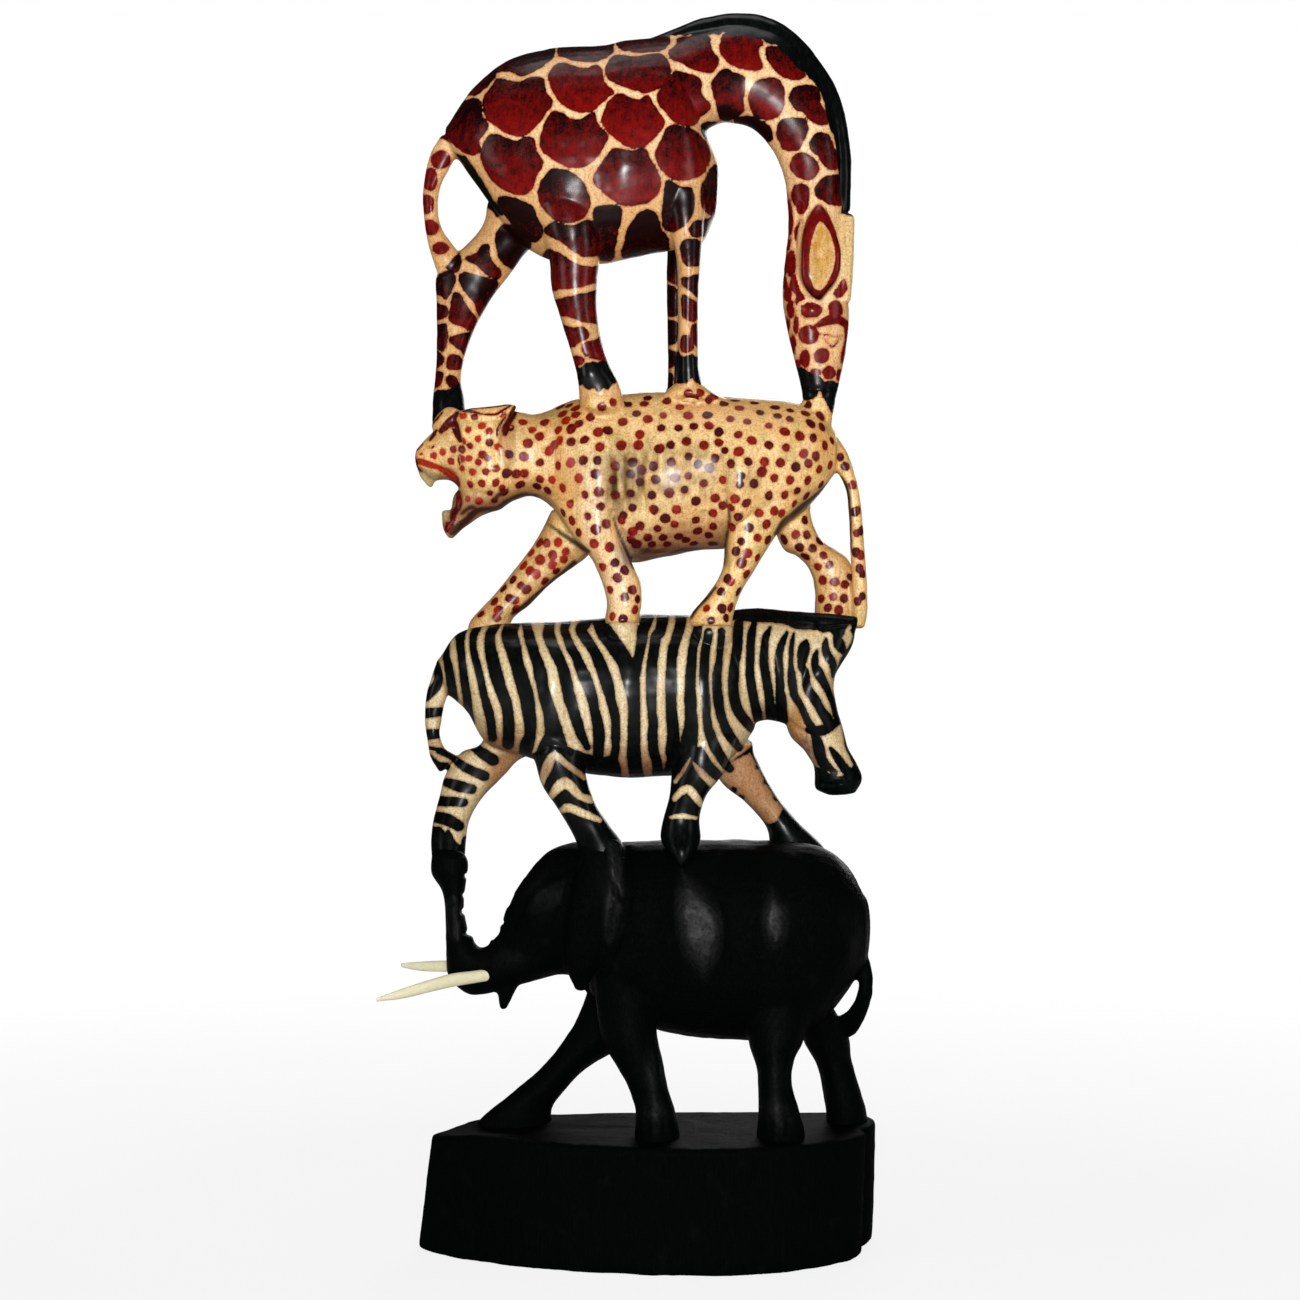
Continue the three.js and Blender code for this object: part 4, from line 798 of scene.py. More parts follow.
        (72, 338.6), (73.4, 335.6), (75, 333.6), (80, 335), (82, 346)],
    cheekSide=[(-59.8, 331), (-53.4, 336), (-52.6, 330), (-52, 316), (-56, 311), (-59.6, 318)],
    teeth=[
        [(-91.8, 313.6), (-83.5, 312), (-83.8, 308), (-86, 304.5), (-90, 307)],
        [(-83.5, 296.5), (-79.2, 296.5), (-78.6, 291.5), (-82.6, 290.5)],
    ],
    # painted shade: dark brown where a limb meets the body, under the jaw and on the tail's inner side
    edges=[
        [(-13.5, 293, 0.4), (-11, 286, 1.1), (-8, 279, 1.3), (-5.5, 272.5, 0.5)],
        [(31.6, 300, 0.6), (33, 293, 1), (31.8, 285, 1), (30.8, 279, 0.4)],
        [(-39, 290, 0.4), (-31, 284.4, 1.8), (-23.5, 279.4, 1.4)],
        [(76, 309.6, 0.6), (70.5, 304.6, 1), (66, 300.8, 1.2), (62.8, 298, 2), (58.8, 294.6, 1.8),
            (54.4, 291, 2), (51.4, 286.4, 1.2)],
        [(-77.8, 287.6, 3.4), (-75, 289.6, 2.8), (-72, 292, 2.6), (-69.4, 294.8, 2.4), (-66, 296.2, 1.8),
            (-60, 296.6, 1.8), (-56, 299.4, 1.4), (-50, 302.2, 1), (-44, 301.6, 0.8)],
        [(-74, 294.6, 1.2), (-71, 297, 1.8), (-68.6, 296.6, 1)],
        [(-61, 300.4, 1), (-58.6, 302.6, 1.6), (-55.8, 304, 1)],
        [(77.6, 309, 1), (79.8, 305, 1.8), (80.8, 299, 1.4), (81.3, 291, 1.2), (81.4, 280, 1)],
        [(17.8, 253, 0.6), (20, 257, 1.4), (24, 260.8, 1.2), (27.4, 265, 0.8)],
        [(-54, 254.6, 1), (-50, 256.6, 2.2), (-45, 261.4, 1.6), (-40, 265.4, 1.8), (-35, 269.6, 1.8),
            (-29, 275, 1.8)],
    ],
)


def scattered(points, gap, seed):
    # places at least gap apart all over a skin: each next one is the point farthest from those chosen
    chosen = [int(np.random.default_rng(seed).integers(len(points)))]
    away = np.full(len(points), np.inf)
    while True:
        away = np.minimum(away, np.linalg.norm(points - points[chosen[-1]], axis=1))
        chosen.append(int(np.argmax(away)))
        if away[chosen[-1]] < gap:
            return points[chosen[:-1]]


def fromDots(points, centres, sizes, seed):
    # the distance to the nearest dot's middle, stretched along that dot's own direction, less its radius
    best, nearest = np.full(len(points), np.inf), np.zeros(len(points), int)
    rng = np.random.default_rng(seed)
    radius = rng.uniform(*sizes, len(centres))
    turn = rng.normal(size=(len(centres), 3))
    turn /= np.linalg.norm(turn, axis=1)[:, None]
    stretch = rng.uniform(0, 0.28, len(centres))
    for k, centre in enumerate(centres):
        near = np.flatnonzero(np.all(np.abs(points - centre) < chisel["reach"], axis=1))
        offset = points[near] - centre
        along = offset @ turn[k]
        away = np.sqrt(np.maximum((offset**2).sum(1) - stretch[k] * along**2, 0)) - radius[k]
        better = away < best[near]
        best[near[better]], nearest[near[better]] = away[better], k
    return np.minimum(best, chisel["reach"]), nearest


def nearSkin(points, seen, places):
    # the point nearest the eye within a millimetre of each place that it sees
    found = []
    for place in places:
        away = np.hypot(*(seen - place).T)
        close = np.flatnonzero(away < max(1.0, away.min() + 0.3))
        found.append(points[close[np.argmin(points[close, 1])]])
    return np.array(found)


def paintLeopard(piece):
    points, normals, seen = readSkin(piece)
    x, z = seen.T
    nearSide = normals[:, 1] < 0
    wander = 0.25 * grainOf(points, 3.1, 18) + 0.16 * grainOf(points, 1.3, 19)
    # the far side's dots lie evenly, clear of those that the eye sees
    placed, headPlaced = nearSkin(points, seen, leopard["dots"]), nearSkin(points, seen, leopard["headDots"])
    far = scattered(points[normals[:, 1] > 0.1][::5], leopard["dotGap"], 4)
    clear = np.min(np.linalg.norm(far[:, None] - np.vstack([placed, headPlaced])[None], axis=2), axis=1)
    dots = np.vstack([placed, far[clear > 0.8 * leopard["dotGap"]]])
    body, which = fromDots(points, dots, leopard["dotSize"], 14)
    face, whichFace = fromDots(points, headPlaced, leopard["headDot"], 15)
    # lips, marks and teeth keep the dots off
    teeth = fromOutlines(seen, leopard["teeth"])
    lips = cutBy(fromStrokes(seen, leopard["lips"]) + 0.4 * wander, teeth)
    marks = onlyWhere(fromStrokes(seen, leopard["marks"]) + 0.3 * wander, points[:, 1] < 2)
    taken = (lips < 1.2) | (teeth < 0.8) | (marks < 0.4)
    red = joined(onlyWhere(np.minimum(body, face) + wander, ~taken), lips, marks)
    # each dot has its own tone, darker on the worn flank, and darker still as a painted shade where the
    # surface looks up or down and on the cheek's side plane
    tones = np.random.default_rng(24).uniform(0.05, 0.7, len(dots))[which] + 0.35 * ramp(x, -50, 10)
    tones = np.where(np.abs(x + 56) < 3.4, 0.85, tones + spread(seen, [leopard["duskyDots"]]))
    faceTones = np.random.default_rng(25).uniform(0, 0.75, len(headPlaced))[whichFace]
    turned = np.maximum(ramp(-normals[:, 2], 0.15, 0.7), ramp(normals[:, 2], 0.55, 0.95) * 0.8)
    tone = np.maximum(np.where(face < body, faceTones, tones), turned)
    tone = np.where(lips < 0.3, 0.12 + 0.6 * ramp(315 - z, 0, 10), tone)
    tone = np.where(marks < 0.3, 0.85, tone)
    soiled = grainOf(points, 4.5, 48) + 0.6 * grainOf(points * (1, 1, 0.3), 1.7, 49)
    worn = spread(seen, leopard["wornPlaces"]) * (0.7 + 0.7 * grainOf(points * (1, 1, 0.2), 1.4, 44))
    scuffed = spread(seen, leopard["scuffedPlaces"]) * (0.7 + 0.9 * grainOf(points * (1, 1, 0.16), 1.1, 47))
    belly = between(x, *leopard["bellyAcross"]) * ramp(z, 272.5, 275)
    # the cheek's side plane gets a painted shade
    cheek = onlyWhere(fromOutline(seen, leopard["cheekSide"]), normals[:, 1] < 0.2)
    # painted shade along the edge strokes
    edges = fromStrokes(seen, leopard["edges"]) + 0.5 * wander
    edges = onlyWhere(edges, (points[:, 1] < 3) | (x < -20) | (x > 50))
    keepGround(piece, washed(
        groundOf(points, normals, leopard, 41), leopard,
        soiled=0.5 * ramp(soiled, 0.1, 0.9), worn=worn * nearSide, scuffed=scuffed * nearSide,
        # painted shade under the jaw and along the belly, darkest at the belly's lower edge
        throatShade=0.8 * ramp(306 - z, 0, 7) * ramp(-x, 36, 42) * ramp(z, 286, 292),
        bellyBrown=0.75 * ramp(296 - z, 0, 14) * belly,
        bellyDark=ramp(283.5 - z, 0, 4) * belly * (0.75 + 0.5 * grainOf(points * (0.3, 1, 1), 1.6, 45)),
        # painted shade on the cheek's side plane
        cheekColour=0.65 * ramp(-cheek, -0.6, 0.6),
        stained=spread(seen, leopard["stainedPlaces"]) * (0.35 + 0.6 * grainOf(points, 1.8, 46)),
        toothColour=0.7 * ramp(-teeth, -0.2, 0.4),
        # a painted sheen on the near front leg
        rubbed=0.6 * spread(seen, leopard["rubbedPlaces"]) * (points[:, 1] < 0),
        farLegColour=0.3 * ((points[:, 1] > 2) & (z < 290)),
        # painted shade in the creases, under the jaw and on the tail's inner side
        edgeColour=0.95 * ramp(-edges, -0.8, 0.4),
    ))
    keepFields(piece, red=red, black=fromOutline(seen, leopard["moundBlack"]) + 1.2 * wander, tone=tone)


zebra = dict(
    voxel=0.75, rounds=5,
    limbs=dict(
        body=(1.5, 1), neck=(0, 0), head=(0, 0.6), mane=(0.8, 0.8), tail=(0.8, 0.8),
        farHindLeg=(0, 0), nearHindLeg=(0, 0), nearFrontLeg=(0, 0), farFrontLeg=(0, 0),
        frontPawBlock=(0.5, 0), hindPawBlock=(0.5, 0),
    ),
    body=[(-83, 237, -79, 222, 9), (-76, 246.5, -72, 215, 17), (-64, 250, -64, 203, 22),
        (-48, 251, -48, 197, 25), (-28, 252, -28, 191, 26.5), (-8, 254, -8, 189, 27),
        (10, 254.5, 10, 190, 26.5), (25, 253, 26, 191, 24.5), (36, 248, 37, 200, 18),
        (43, 238, 42.5, 208, 10)],
    neck=[(14, 252, 26, 205, 21), (38, 254.5, 43, 211, 16), (54, 253, 50, 212, 14), (68, 252, 57, 210, 12)],
    head=[(84, 250, 62, 248, 10), (82, 241, 58, 234, 12), (75.5, 229.5, 55, 219, 12.5),
        (75.8, 219, 57, 206.5, 11.5), (78.5, 209, 62.5, 200, 10), (80.5, 201, 66.3, 194, 9),
        (84, 194, 67, 189.5, 8.5), (86, 188.5, 67.2, 184.5, 8.5), (83.5, 182.9, 72, 181.9, 6)],
    mane=[(34, 256, 34, 248, 3.5), (45, 257, 45, 248, 4), (60, 255.5, 60, 246, 4.5),
        (75, 254.5, 75, 245, 4.5), (84, 253.5, 83, 247, 4)],
    tail=[(-84, 236, -78, 228, 4), (-88, 222, -81, 219, 3.5), (-89, 212, -82.5, 211, 3.3),
        (-88, 204, -83, 206, 3.3), (-86.7, 197.5, -80.5, 200.5, 3.5, 4), (-83, 191, -76, 198, 4, 8)],
    farHindLeg=[(-64, 209, -40, 206, 12, 10), (-67, 202, -46, 199, 11, 11), (-74.5, 199, -52, 195.5, 10, 12),
        (-80.5, 190.5, -56.5, 190.5, 9, 12), (-83, 181.5, -66, 180.5, 8.5, 11), (-85.5, 172, -71, 172, 8, 9),
        (-86.5, 164, -72.5, 164, 8, 7), (-86, 157, -73, 157, 8, 5)],
    nearHindLeg=[(-52, 212, -20, 212, 11, -10), (-45, 196, -24.5, 196, 10.5, -13),
        (-42, 186, -23.5, 187, 9.5, -14), (-36, 177, -20, 178, 8.5, -14), (-31, 168.5, -15, 170, 8, -14),
        (-28, 162, -10, 163, 8.5, -14), (-25, 155, -8, 155, 7, -16)],
    nearFrontLeg=[(12, 208, 36, 205, 10.5, -11), (10, 191, 30, 190, 10, -13), (9, 181, 24, 182, 8.5, -14),
        (6.5, 172, 21, 173, 8, -14), (5.5, 165, 21.5, 165, 8.5, -15), (7.6, 160.4, 20, 160.4, 8, -17.5),
        (10.4, 156.6, 17.4, 156.6, 6, -20), (12.6, 153.6, 15.4, 153.6, 3, -22)],
    farFrontLeg=[(22, 205, 42, 204, 10, 10), (29, 188, 43.5, 197, 9, 12), (39, 179.5, 51, 183, 8.5, 13),
        (47, 170.5, 60.5, 171, 8.5, 13), (49, 164, 70, 162, 9, 12), (48, 157, 72, 157, 9, 10)],
    # blocks left under the leopard's near paws
    frontPawBlock=[(-17.2, 250.6, -3, 250.8, 8.8, -12.6), (-17.4, 247, -2.6, 247, 8.8, -13),
        (-14, 240, -3.4, 240, 5, -14)],
    hindPawBlock=[(16.8, 249.6, 34.8, 249.6, 8.8, -12.6), (17, 246, 35, 246, 8.8, -13),
        (20, 240, 32, 240, 5, -14)],
    carving=dict(
        swells=[(-38, 218, 6, 22, 2.6), (-40, 238, 10, 12, 0.8), (22.5, 214, 5.5, 24, 2.4),
            (24, 232, 9, 12, 0.6), (-8, 232, 12, 14, 0.8), (-20, 212, 7, 14, -1.0), (12, 208, 5, 12, -1.0),
            (-58, 222, 10, 16, 0.6), (-8, 222, 5, 22, 0.7), (70, 230, 5, 4, 1.2), (74, 236, 3, 3, 0.8),
            (64, 214, 5, 7, 1.0), (68, 194, 6, 5, 0.6), (79, 187, 4, 3, 0.6), (51, 230, 8, 14, -0.8)],
        cuts=[
            (0.8, 1.2, [(46, 246), (50, 236), (51.5, 224), (52, 213)]),
            (0.7, 1.0, [(57, 211), (62, 207.6), (66, 206)]), (0.7, 0.9, [(68, 187), (73, 186), (78, 187)]),
            (0.6, 1.0, [(-44, 199), (-38, 202), (-31, 199)]),
            (0.8, 1.2, [(13, 207), (11.4, 200), (11, 193)]),
            (0.8, 1.2, [(-23, 207), (-22.6, 200), (-23.6, 193)]),
            (0.9, 1.3, [(74.6, 185.4), (74.3, 183.6), (74.2, 181)]),
        ],
        polish=(0.26, 0.16),
        dull=[(79, 200, 14, 34), (-80, 170, 12, 12), (-20, 165, 10, 8), (14, 164, 12, 6)], seed=9,
    ),
    # pale is a painted light for the surfaces that face the eye, and shade a painted shade for those that
    # look down
    cream=(0.69, 0.53, 0.29), warm=(0.56, 0.38, 0.17), pale=(0.78, 0.65, 0.41), shade=(0.22, 0.09, 0.04),
    raw=(0.42, 0.20, 0.085),  # the pinkish wood that shows inside the far legs
    bellyShade=(0.22, 0.09, 0.04), throatColour=(0.16, 0.075, 0.055), cheekColour=(0.46, 0.20, 0.05),
    cheekPlace=(60, 212, 5, 8, 0.85),
    bellyAcross=(-48, -38, 26, 30), bellyUp=(185, 191, 191, 203), fringe=(0.34, 0.22, 0.18, 1),
    # stripes over the barrel and the neck, from the rump on (x, z, width)
    stripes=[
        [(-84.3, 236.5, 1), (-83.7, 231.5, 3), (-83.5, 227.5, 3.4), (-85, 224.6, 3.8), (-88.5, 221, 3.4)],
        [(-79.6, 243, 1.4), (-80.4, 237.5, 2.7), (-79.6, 234.5, 3.2), (-78.8, 230, 3.5),
            (-78.2, 226, 3.6), (-77.2, 220, 3)],
        [(-74.3, 249, 5), (-74.7, 245.5, 4), (-74.6, 241, 3.4), (-74.1, 236, 3), (-73.4, 231, 3.2),
            (-72.8, 226, 3.3), (-71.9, 221, 3.3), (-71.5, 216.5, 3.3), (-70, 211, 2.4)],
        [(-66.6, 252, 2.6), (-67.7, 249, 2.6), (-69.4, 246, 3), (-69.5, 241, 2.8), (-68.5, 236, 3),
            (-67.2, 231, 3), (-66.1, 226, 3), (-65, 221, 3), (-63.5, 216, 3.6), (-62.4, 211, 3.5),
            (-61.8, 205, 3.4)],
        [(-58.6, 252.5, 3.6), (-60.5, 250, 3.4), (-62.6, 246.5, 4), (-62.9, 243, 4.3),
            (-62.3, 238.5, 4.8), (-61.2, 234, 5.2), (-60.1, 229.5, 5.2), (-58.8, 225, 4.8),
            (-57.2, 221, 4.5), (-55.8, 216, 4.2), (-55.3, 211, 4.6), (-55.3, 206, 4.7),
            (-55.5, 202.5, 4.5)],
        [(-53.6, 253, 6), (-54, 250, 5.9), (-55, 246.5, 6.5), (-54.5, 244, 6.5), (-53.4, 240.5, 6.3),
            (-52.5, 236, 5.5), (-50.9, 231, 5.8), (-49.6, 226, 5.8), (-48.1, 221, 5.8), (-47.3, 216, 5.5),
            (-46.8, 211, 5), (-46.8, 206, 4.5), (-48, 202, 5.5), (-49, 197, 4.5)],
        [(-48.3, 253, 3.8), (-48, 249, 3.8), (-47, 245, 4.3), (-45.8, 241, 4.2), (-44.2, 236, 4.5),
            (-42.5, 230, 5), (-41.7, 225, 4.7), (-40.4, 220, 5), (-38.9, 215, 5.4), (-37.8, 210, 6.4),
            (-37, 205, 8), (-37.6, 200, 12), (-38, 195, 14)],
        [(-38.8, 254, 4), (-39, 250, 4), (-39.4, 247, 4.6), (-38.6, 244, 4.7), (-37.2, 240.5, 4.5),
            (-35, 236, 4.3), (-33.4, 231.5, 4.5), (-32.2, 226.5, 4.8), (-31, 221, 4.8), (-29.5, 216, 4.5),
            (-27.9, 211, 4.5), (-26.2, 206, 3.8), (-23.8, 201, 2.4)],
        [(-32.2, 255, 3.6), (-32.5, 250.5, 3.5), (-33, 248, 3.3), (-32, 245, 3.3), (-30.5, 241, 3.5),
            (-28.3, 237.5, 3.8), (-27, 234, 4.2), (-25, 229.5, 4.8), (-23.2, 225, 4.3),
            (-21.8, 220.5, 4.2), (-20.9, 215.5, 4), (-19.8, 211, 4.5), (-19.2, 206, 4.8),
            (-19.4, 200, 4.3), (-19.6, 192, 4)],
        [(-23.6, 254, 4), (-24.6, 250.5, 4.2), (-26.4, 248.3, 4.5), (-24.7, 245, 4.2), (-21.5, 240, 4.2),
            (-19, 235, 4.7), (-17.1, 230, 4.8), (-15.6, 225, 4.8), (-14.4, 220, 3.8), (-13.1, 215, 3.8),
            (-12.5, 210, 3.6), (-12.6, 205, 3.7), (-12.6, 200, 3.3), (-13.5, 195, 3.5), (-13, 190, 3.4)],
        [(-19.6, 252, 5), (-17.4, 248, 6.4), (-15.4, 245, 6.7), (-11.6, 240, 6.6), (-8.6, 235, 6.6),
            (-6.8, 230, 7.2), (-5.8, 225, 6), (-5.4, 220, 5.1), (-5.1, 215, 4.8), (-5.2, 210, 5),
            (-5.2, 205, 5), (-5.3, 200, 5.6), (-5, 195, 5.3), (-4, 189, 5.4)],
        [(0.2, 253, 5), (-0.6, 250.5, 5), (-1.6, 248, 4.7), (-2, 245, 4.3), (-2.8, 240, 4),
            (-3.7, 235, 3.6), (-4.6, 230, 3.8)],
        [(6.6, 257, 4.6), (6.3, 254, 4.5), (5.8, 250, 4.5), (4.9, 247, 4.4), (3.6, 245, 4.3),
            (2.8, 240, 4), (2.1, 235, 4.3), (1.8, 230, 4.5), (1.7, 225, 4.4), (1.8, 220, 4),
            (2.1, 215, 3.8), (2.4, 210, 3.8), (2.3, 205, 4), (2.5, 200, 4), (4, 195, 4), (4.5, 189, 4.5)],
        [(13.9, 257, 4), (13.7, 254, 4), (13.3, 250, 4), (11.8, 245, 4), (10.4, 240, 4.2), (9.8, 235, 4),
            (9.6, 230, 4.3), (9.6, 225, 4.5), (9.6, 220, 4.2), (9.8, 215, 4.4), (10.3, 210, 4.7),
            (10.6, 205, 5.2), (10.6, 199, 6.4)],
        [(20.4, 248.6, 3.6), (19.4, 245, 4), (18.2, 240, 3.6), (17.9, 235, 4), (17.5, 230, 4.3),
            (17.4, 225, 4.2), (17.4, 220, 4.8), (17.6, 215, 4.9), (17.6, 210, 5.4), (17, 205, 6.6),
            (16.4, 200, 7.4), (16, 194, 8)],
        [(24.5, 247, 3.6), (24.2, 244, 3.7), (23.4, 240, 3.6), (23, 235, 3.8), (22.8, 230, 3.9),
            (23, 225, 3.6), (23.8, 220, 3.2), (23.8, 215, 3.2), (24.2, 210, 3.7), (25.6, 205, 4.2),
            (27.8, 200, 4.2), (31, 195, 3.8), (33.2, 192.6, 3)],
        [(29.8, 247.4, 2.9), (29.7, 244, 3), (29.2, 240, 2.9), (28.8, 235, 2.9), (28, 230, 3.6),
            (28, 225, 3.9), (28.5, 220, 4), (29.3, 215, 3.9), (31, 210, 3.9), (33.6, 205, 3.8),
            (36.8, 201, 3)],
        [(36.7, 250.5, 3.6), (36.4, 247, 3.8), (36, 240, 4.1), (35.1, 235, 4), (34.7, 230, 4.3),
            (34.6, 225, 4), (35, 220, 4.2), (36.6, 215.5, 4.1), (39.5, 211.5, 3.9), (43, 207.6, 3.2)],
        [(42.8, 250.4, 2.4), (41.8, 246, 3.3), (41.4, 240, 3.3), (41.3, 235, 3.4), (41.2, 230, 3.6),
            (41.9, 225, 3.7), (42.9, 220, 3.8), (44, 215, 3.8), (45, 209, 3.4)],
        [(49.3, 249, 1.4), (47.6, 245.5, 3), (47, 241, 3.2), (46.8, 235, 3.7), (47.5, 230, 3.8),
            (48.4, 225, 3.8), (49, 220, 3.9), (49.4, 215, 3.9), (49.6, 210, 3.8)],
        [(56, 247, 1.4), (54.1, 243, 3), (52.8, 238, 3.4), (52.8, 233, 3.6), (53.1, 228, 3.6),
            (53.3, 223, 4), (53.8, 218, 4.6), (54, 212, 5)],
        [(58.7, 246.4, 1.2), (58, 243, 2), (57.6, 238, 2), (57.6, 234, 2.4), (57.9, 230, 3.8),
            (58.2, 226, 4), (59, 222, 3.4), (61.4, 218, 3), (63, 214.6, 3), (64.6, 211, 3.4),
            (66.6, 207.6, 4)],
        [(63.6, 243, 2.6), (62.9, 240.6, 5), (62, 236, 4), (61.8, 233.4, 3.4), (63.4, 230.6, 3.6),
            (63.9, 225.6, 3.8), (65.4, 222.6, 4), (67.2, 220.2, 4.2), (69.3, 216.3, 4), (72, 212.4, 5)],
        [(68, 239.6, 1.6), (67.3, 237, 2.8), (67.3, 233.6, 3.2), (68.8, 230.4, 4.6), (70.6, 227.2, 3.6),
            (72.4, 223.6, 2.8), (74.2, 219.4, 2.6), (75.6, 214, 3)],
        [(71.6, 244.4, 1.4), (71.3, 241.4, 3.2), (72.2, 238, 3.6), (74, 235.2, 3.4), (74.6, 232, 2.6),
            (74.2, 229.4, 1.4)],
        [(75.6, 248, 2.4), (76, 245, 3.4), (77, 242, 4.6), (78.6, 239.4, 2.6), (79.6, 237.6, 1)],
        [(65, 208.2, 3.4), (68.6, 207.6, 4.4), (72.4, 208.8, 4), (75.4, 211, 3.6), (79, 212.4, 2.6)],
    ],
    # where the black along the forehead and the nose begins
    outerFace=[(84, 252), (81.2, 248), (82.4, 245.6), (81.4, 242.6), (79.2, 239.4), (77.2, 236),
        (75.4, 231), (75, 226), (76, 219), (77.4, 213), (78, 208), (79.2, 201), (81.6, 195.6), (84.5, 190)],
    muzzle=[(66.4, 193.4), (69.6, 193), (73, 191), (75.4, 189.8), (78, 189.6), (80.4, 191), (82.4, 194),
        (84, 197), (90, 196), (90, 180), (64, 180)],
    nostril=[
        [(67.2, 206, 3.4), (68.6, 201.4, 4.8), (69.6, 196.6, 4.4), (71.4, 193, 4)],
        [(73.4, 200.8, 1.6), (75.6, 197.6, 3.2), (78.4, 193.6, 3.8), (81.6, 189.6, 4)],
        [(71.2, 197, 0.8), (73, 193.6, 2.2), (75, 190.6, 3)],
    ],
    maneBlack=[(30, 260), (34, 252.4), (37, 252), (44, 251.4), (50, 250.8), (56, 249.8), (60, 248.2),
        (63, 248), (68, 247.6), (70.6, 246.4), (73, 246.8), (75, 244.8), (78.6, 246), (80.6, 250),
        (81.4, 250.4), (83, 246.6), (88, 247), (88, 262), (30, 262)],
    tailBands=[
        [(-90, 214.6, 4), (-81, 215.4, 3.2)], [(-90, 206, 4.6), (-82.5, 206.6, 3.4)],
        [(-89, 199.6, 3.8), (-82, 199.4, 2.6)], [(-86, 194.6, 3.4), (-81.8, 193.2, 3.6)],
    ],
    farHindStripes=[
        [(-70.4, 202.4, 3), (-66, 198.8, 4.2), (-61.6, 196, 4.4)],
        [(-83, 199.6, 2.4), (-78, 197.2, 2.6), (-73, 193.2, 3.6), (-65, 189.6, 3.8)],
        [(-88, 197.4, 3), (-84, 193.4, 4), (-80.6, 193.4, 3.4)],
        [(-80, 187, 3.4), (-75, 185.6, 4.4), (-70, 184.4, 3.8)],
        [(-86, 179.6, 4), (-79, 179.4, 3.8), (-73.4, 179, 3.4)],
        [(-86, 173.4, 4.4), (-80, 172.2, 4.8), (-75.4, 169.6, 4.4)],
    ],
    farHindHoof=[(-92, 170), (-82.6, 169), (-80.8, 167), (-79.4, 168), (-77.6, 166.4), (-76.6, 163.4),
        (-74.6, 162.6), (-73.6, 165), (-66, 165.6), (-66, 150), (-92, 150)],
    nearHindBlack=[(-52, 196.5), (-45, 199), (-36, 203), (-28, 199.5), (-20, 197), (-12, 198), (-2, 150),
        (-40, 150)],
    nearHindCream=[
        [(-42.4, 186.4, 2.8), (-40.2, 192.6, 4.2), (-37, 198, 3.4), (-32.6, 194.6, 3), (-25, 189, 2.6)],
        [(-38.2, 181.6, 3), (-34.4, 186.4, 4.8), (-31, 186, 4.4), (-27, 181.6, 3.2), (-22.6, 180.2, 3.6)],
        [(-34.6, 175.6, 2.4), (-31, 176.8, 3.8), (-25, 174.4, 3.4), (-19, 172, 2.4)],
    ],
    nearFrontBlack=[(8, 197.6), (13, 199), (18, 201), (22.4, 201), (26, 195), (31, 189.6), (28, 150),
        (0, 150)],
    nearFrontCream=[
        [(17.4, 197, 0.8), (15, 192.4, 1.8), (11.4, 187.4, 2)],
        [(18.2, 195.4, 0.8), (21.6, 191, 3), (27.4, 185.4, 3.6)],
        [(11, 180.4, 2.4), (14, 183.6, 3.4), (17, 184, 3.6), (21.6, 178.4, 3)],
        [(9.6, 173, 1.4), (14, 173.6, 2.4), (19.6, 172.8, 1.6)],
    ],
    scallops=[(44.8, 193.4), (48, 187.4), (52, 180.8), (37.4, 180.8), (34.6, 184)],
    throat=[(52.6, 211), (56, 208), (60, 203), (63, 197.6), (65.4, 192.6), (68.4, 193.6), (67.4, 199),
        (66, 203.4), (63.4, 206.6), (60, 209), (57, 212.6), (54.6, 214)],
    farFrontBlack=[(30, 191), (36, 197), (44, 203), (64, 190), (76, 150), (40, 150)],
    farFrontTan=[(29, 189), (34, 195), (41, 199), (44, 194), (47, 188), (51, 181), (54.5, 176.5),
        (52, 171.5), (48.5, 170.5), (45, 173.5), (41, 177), (34, 183)],
)


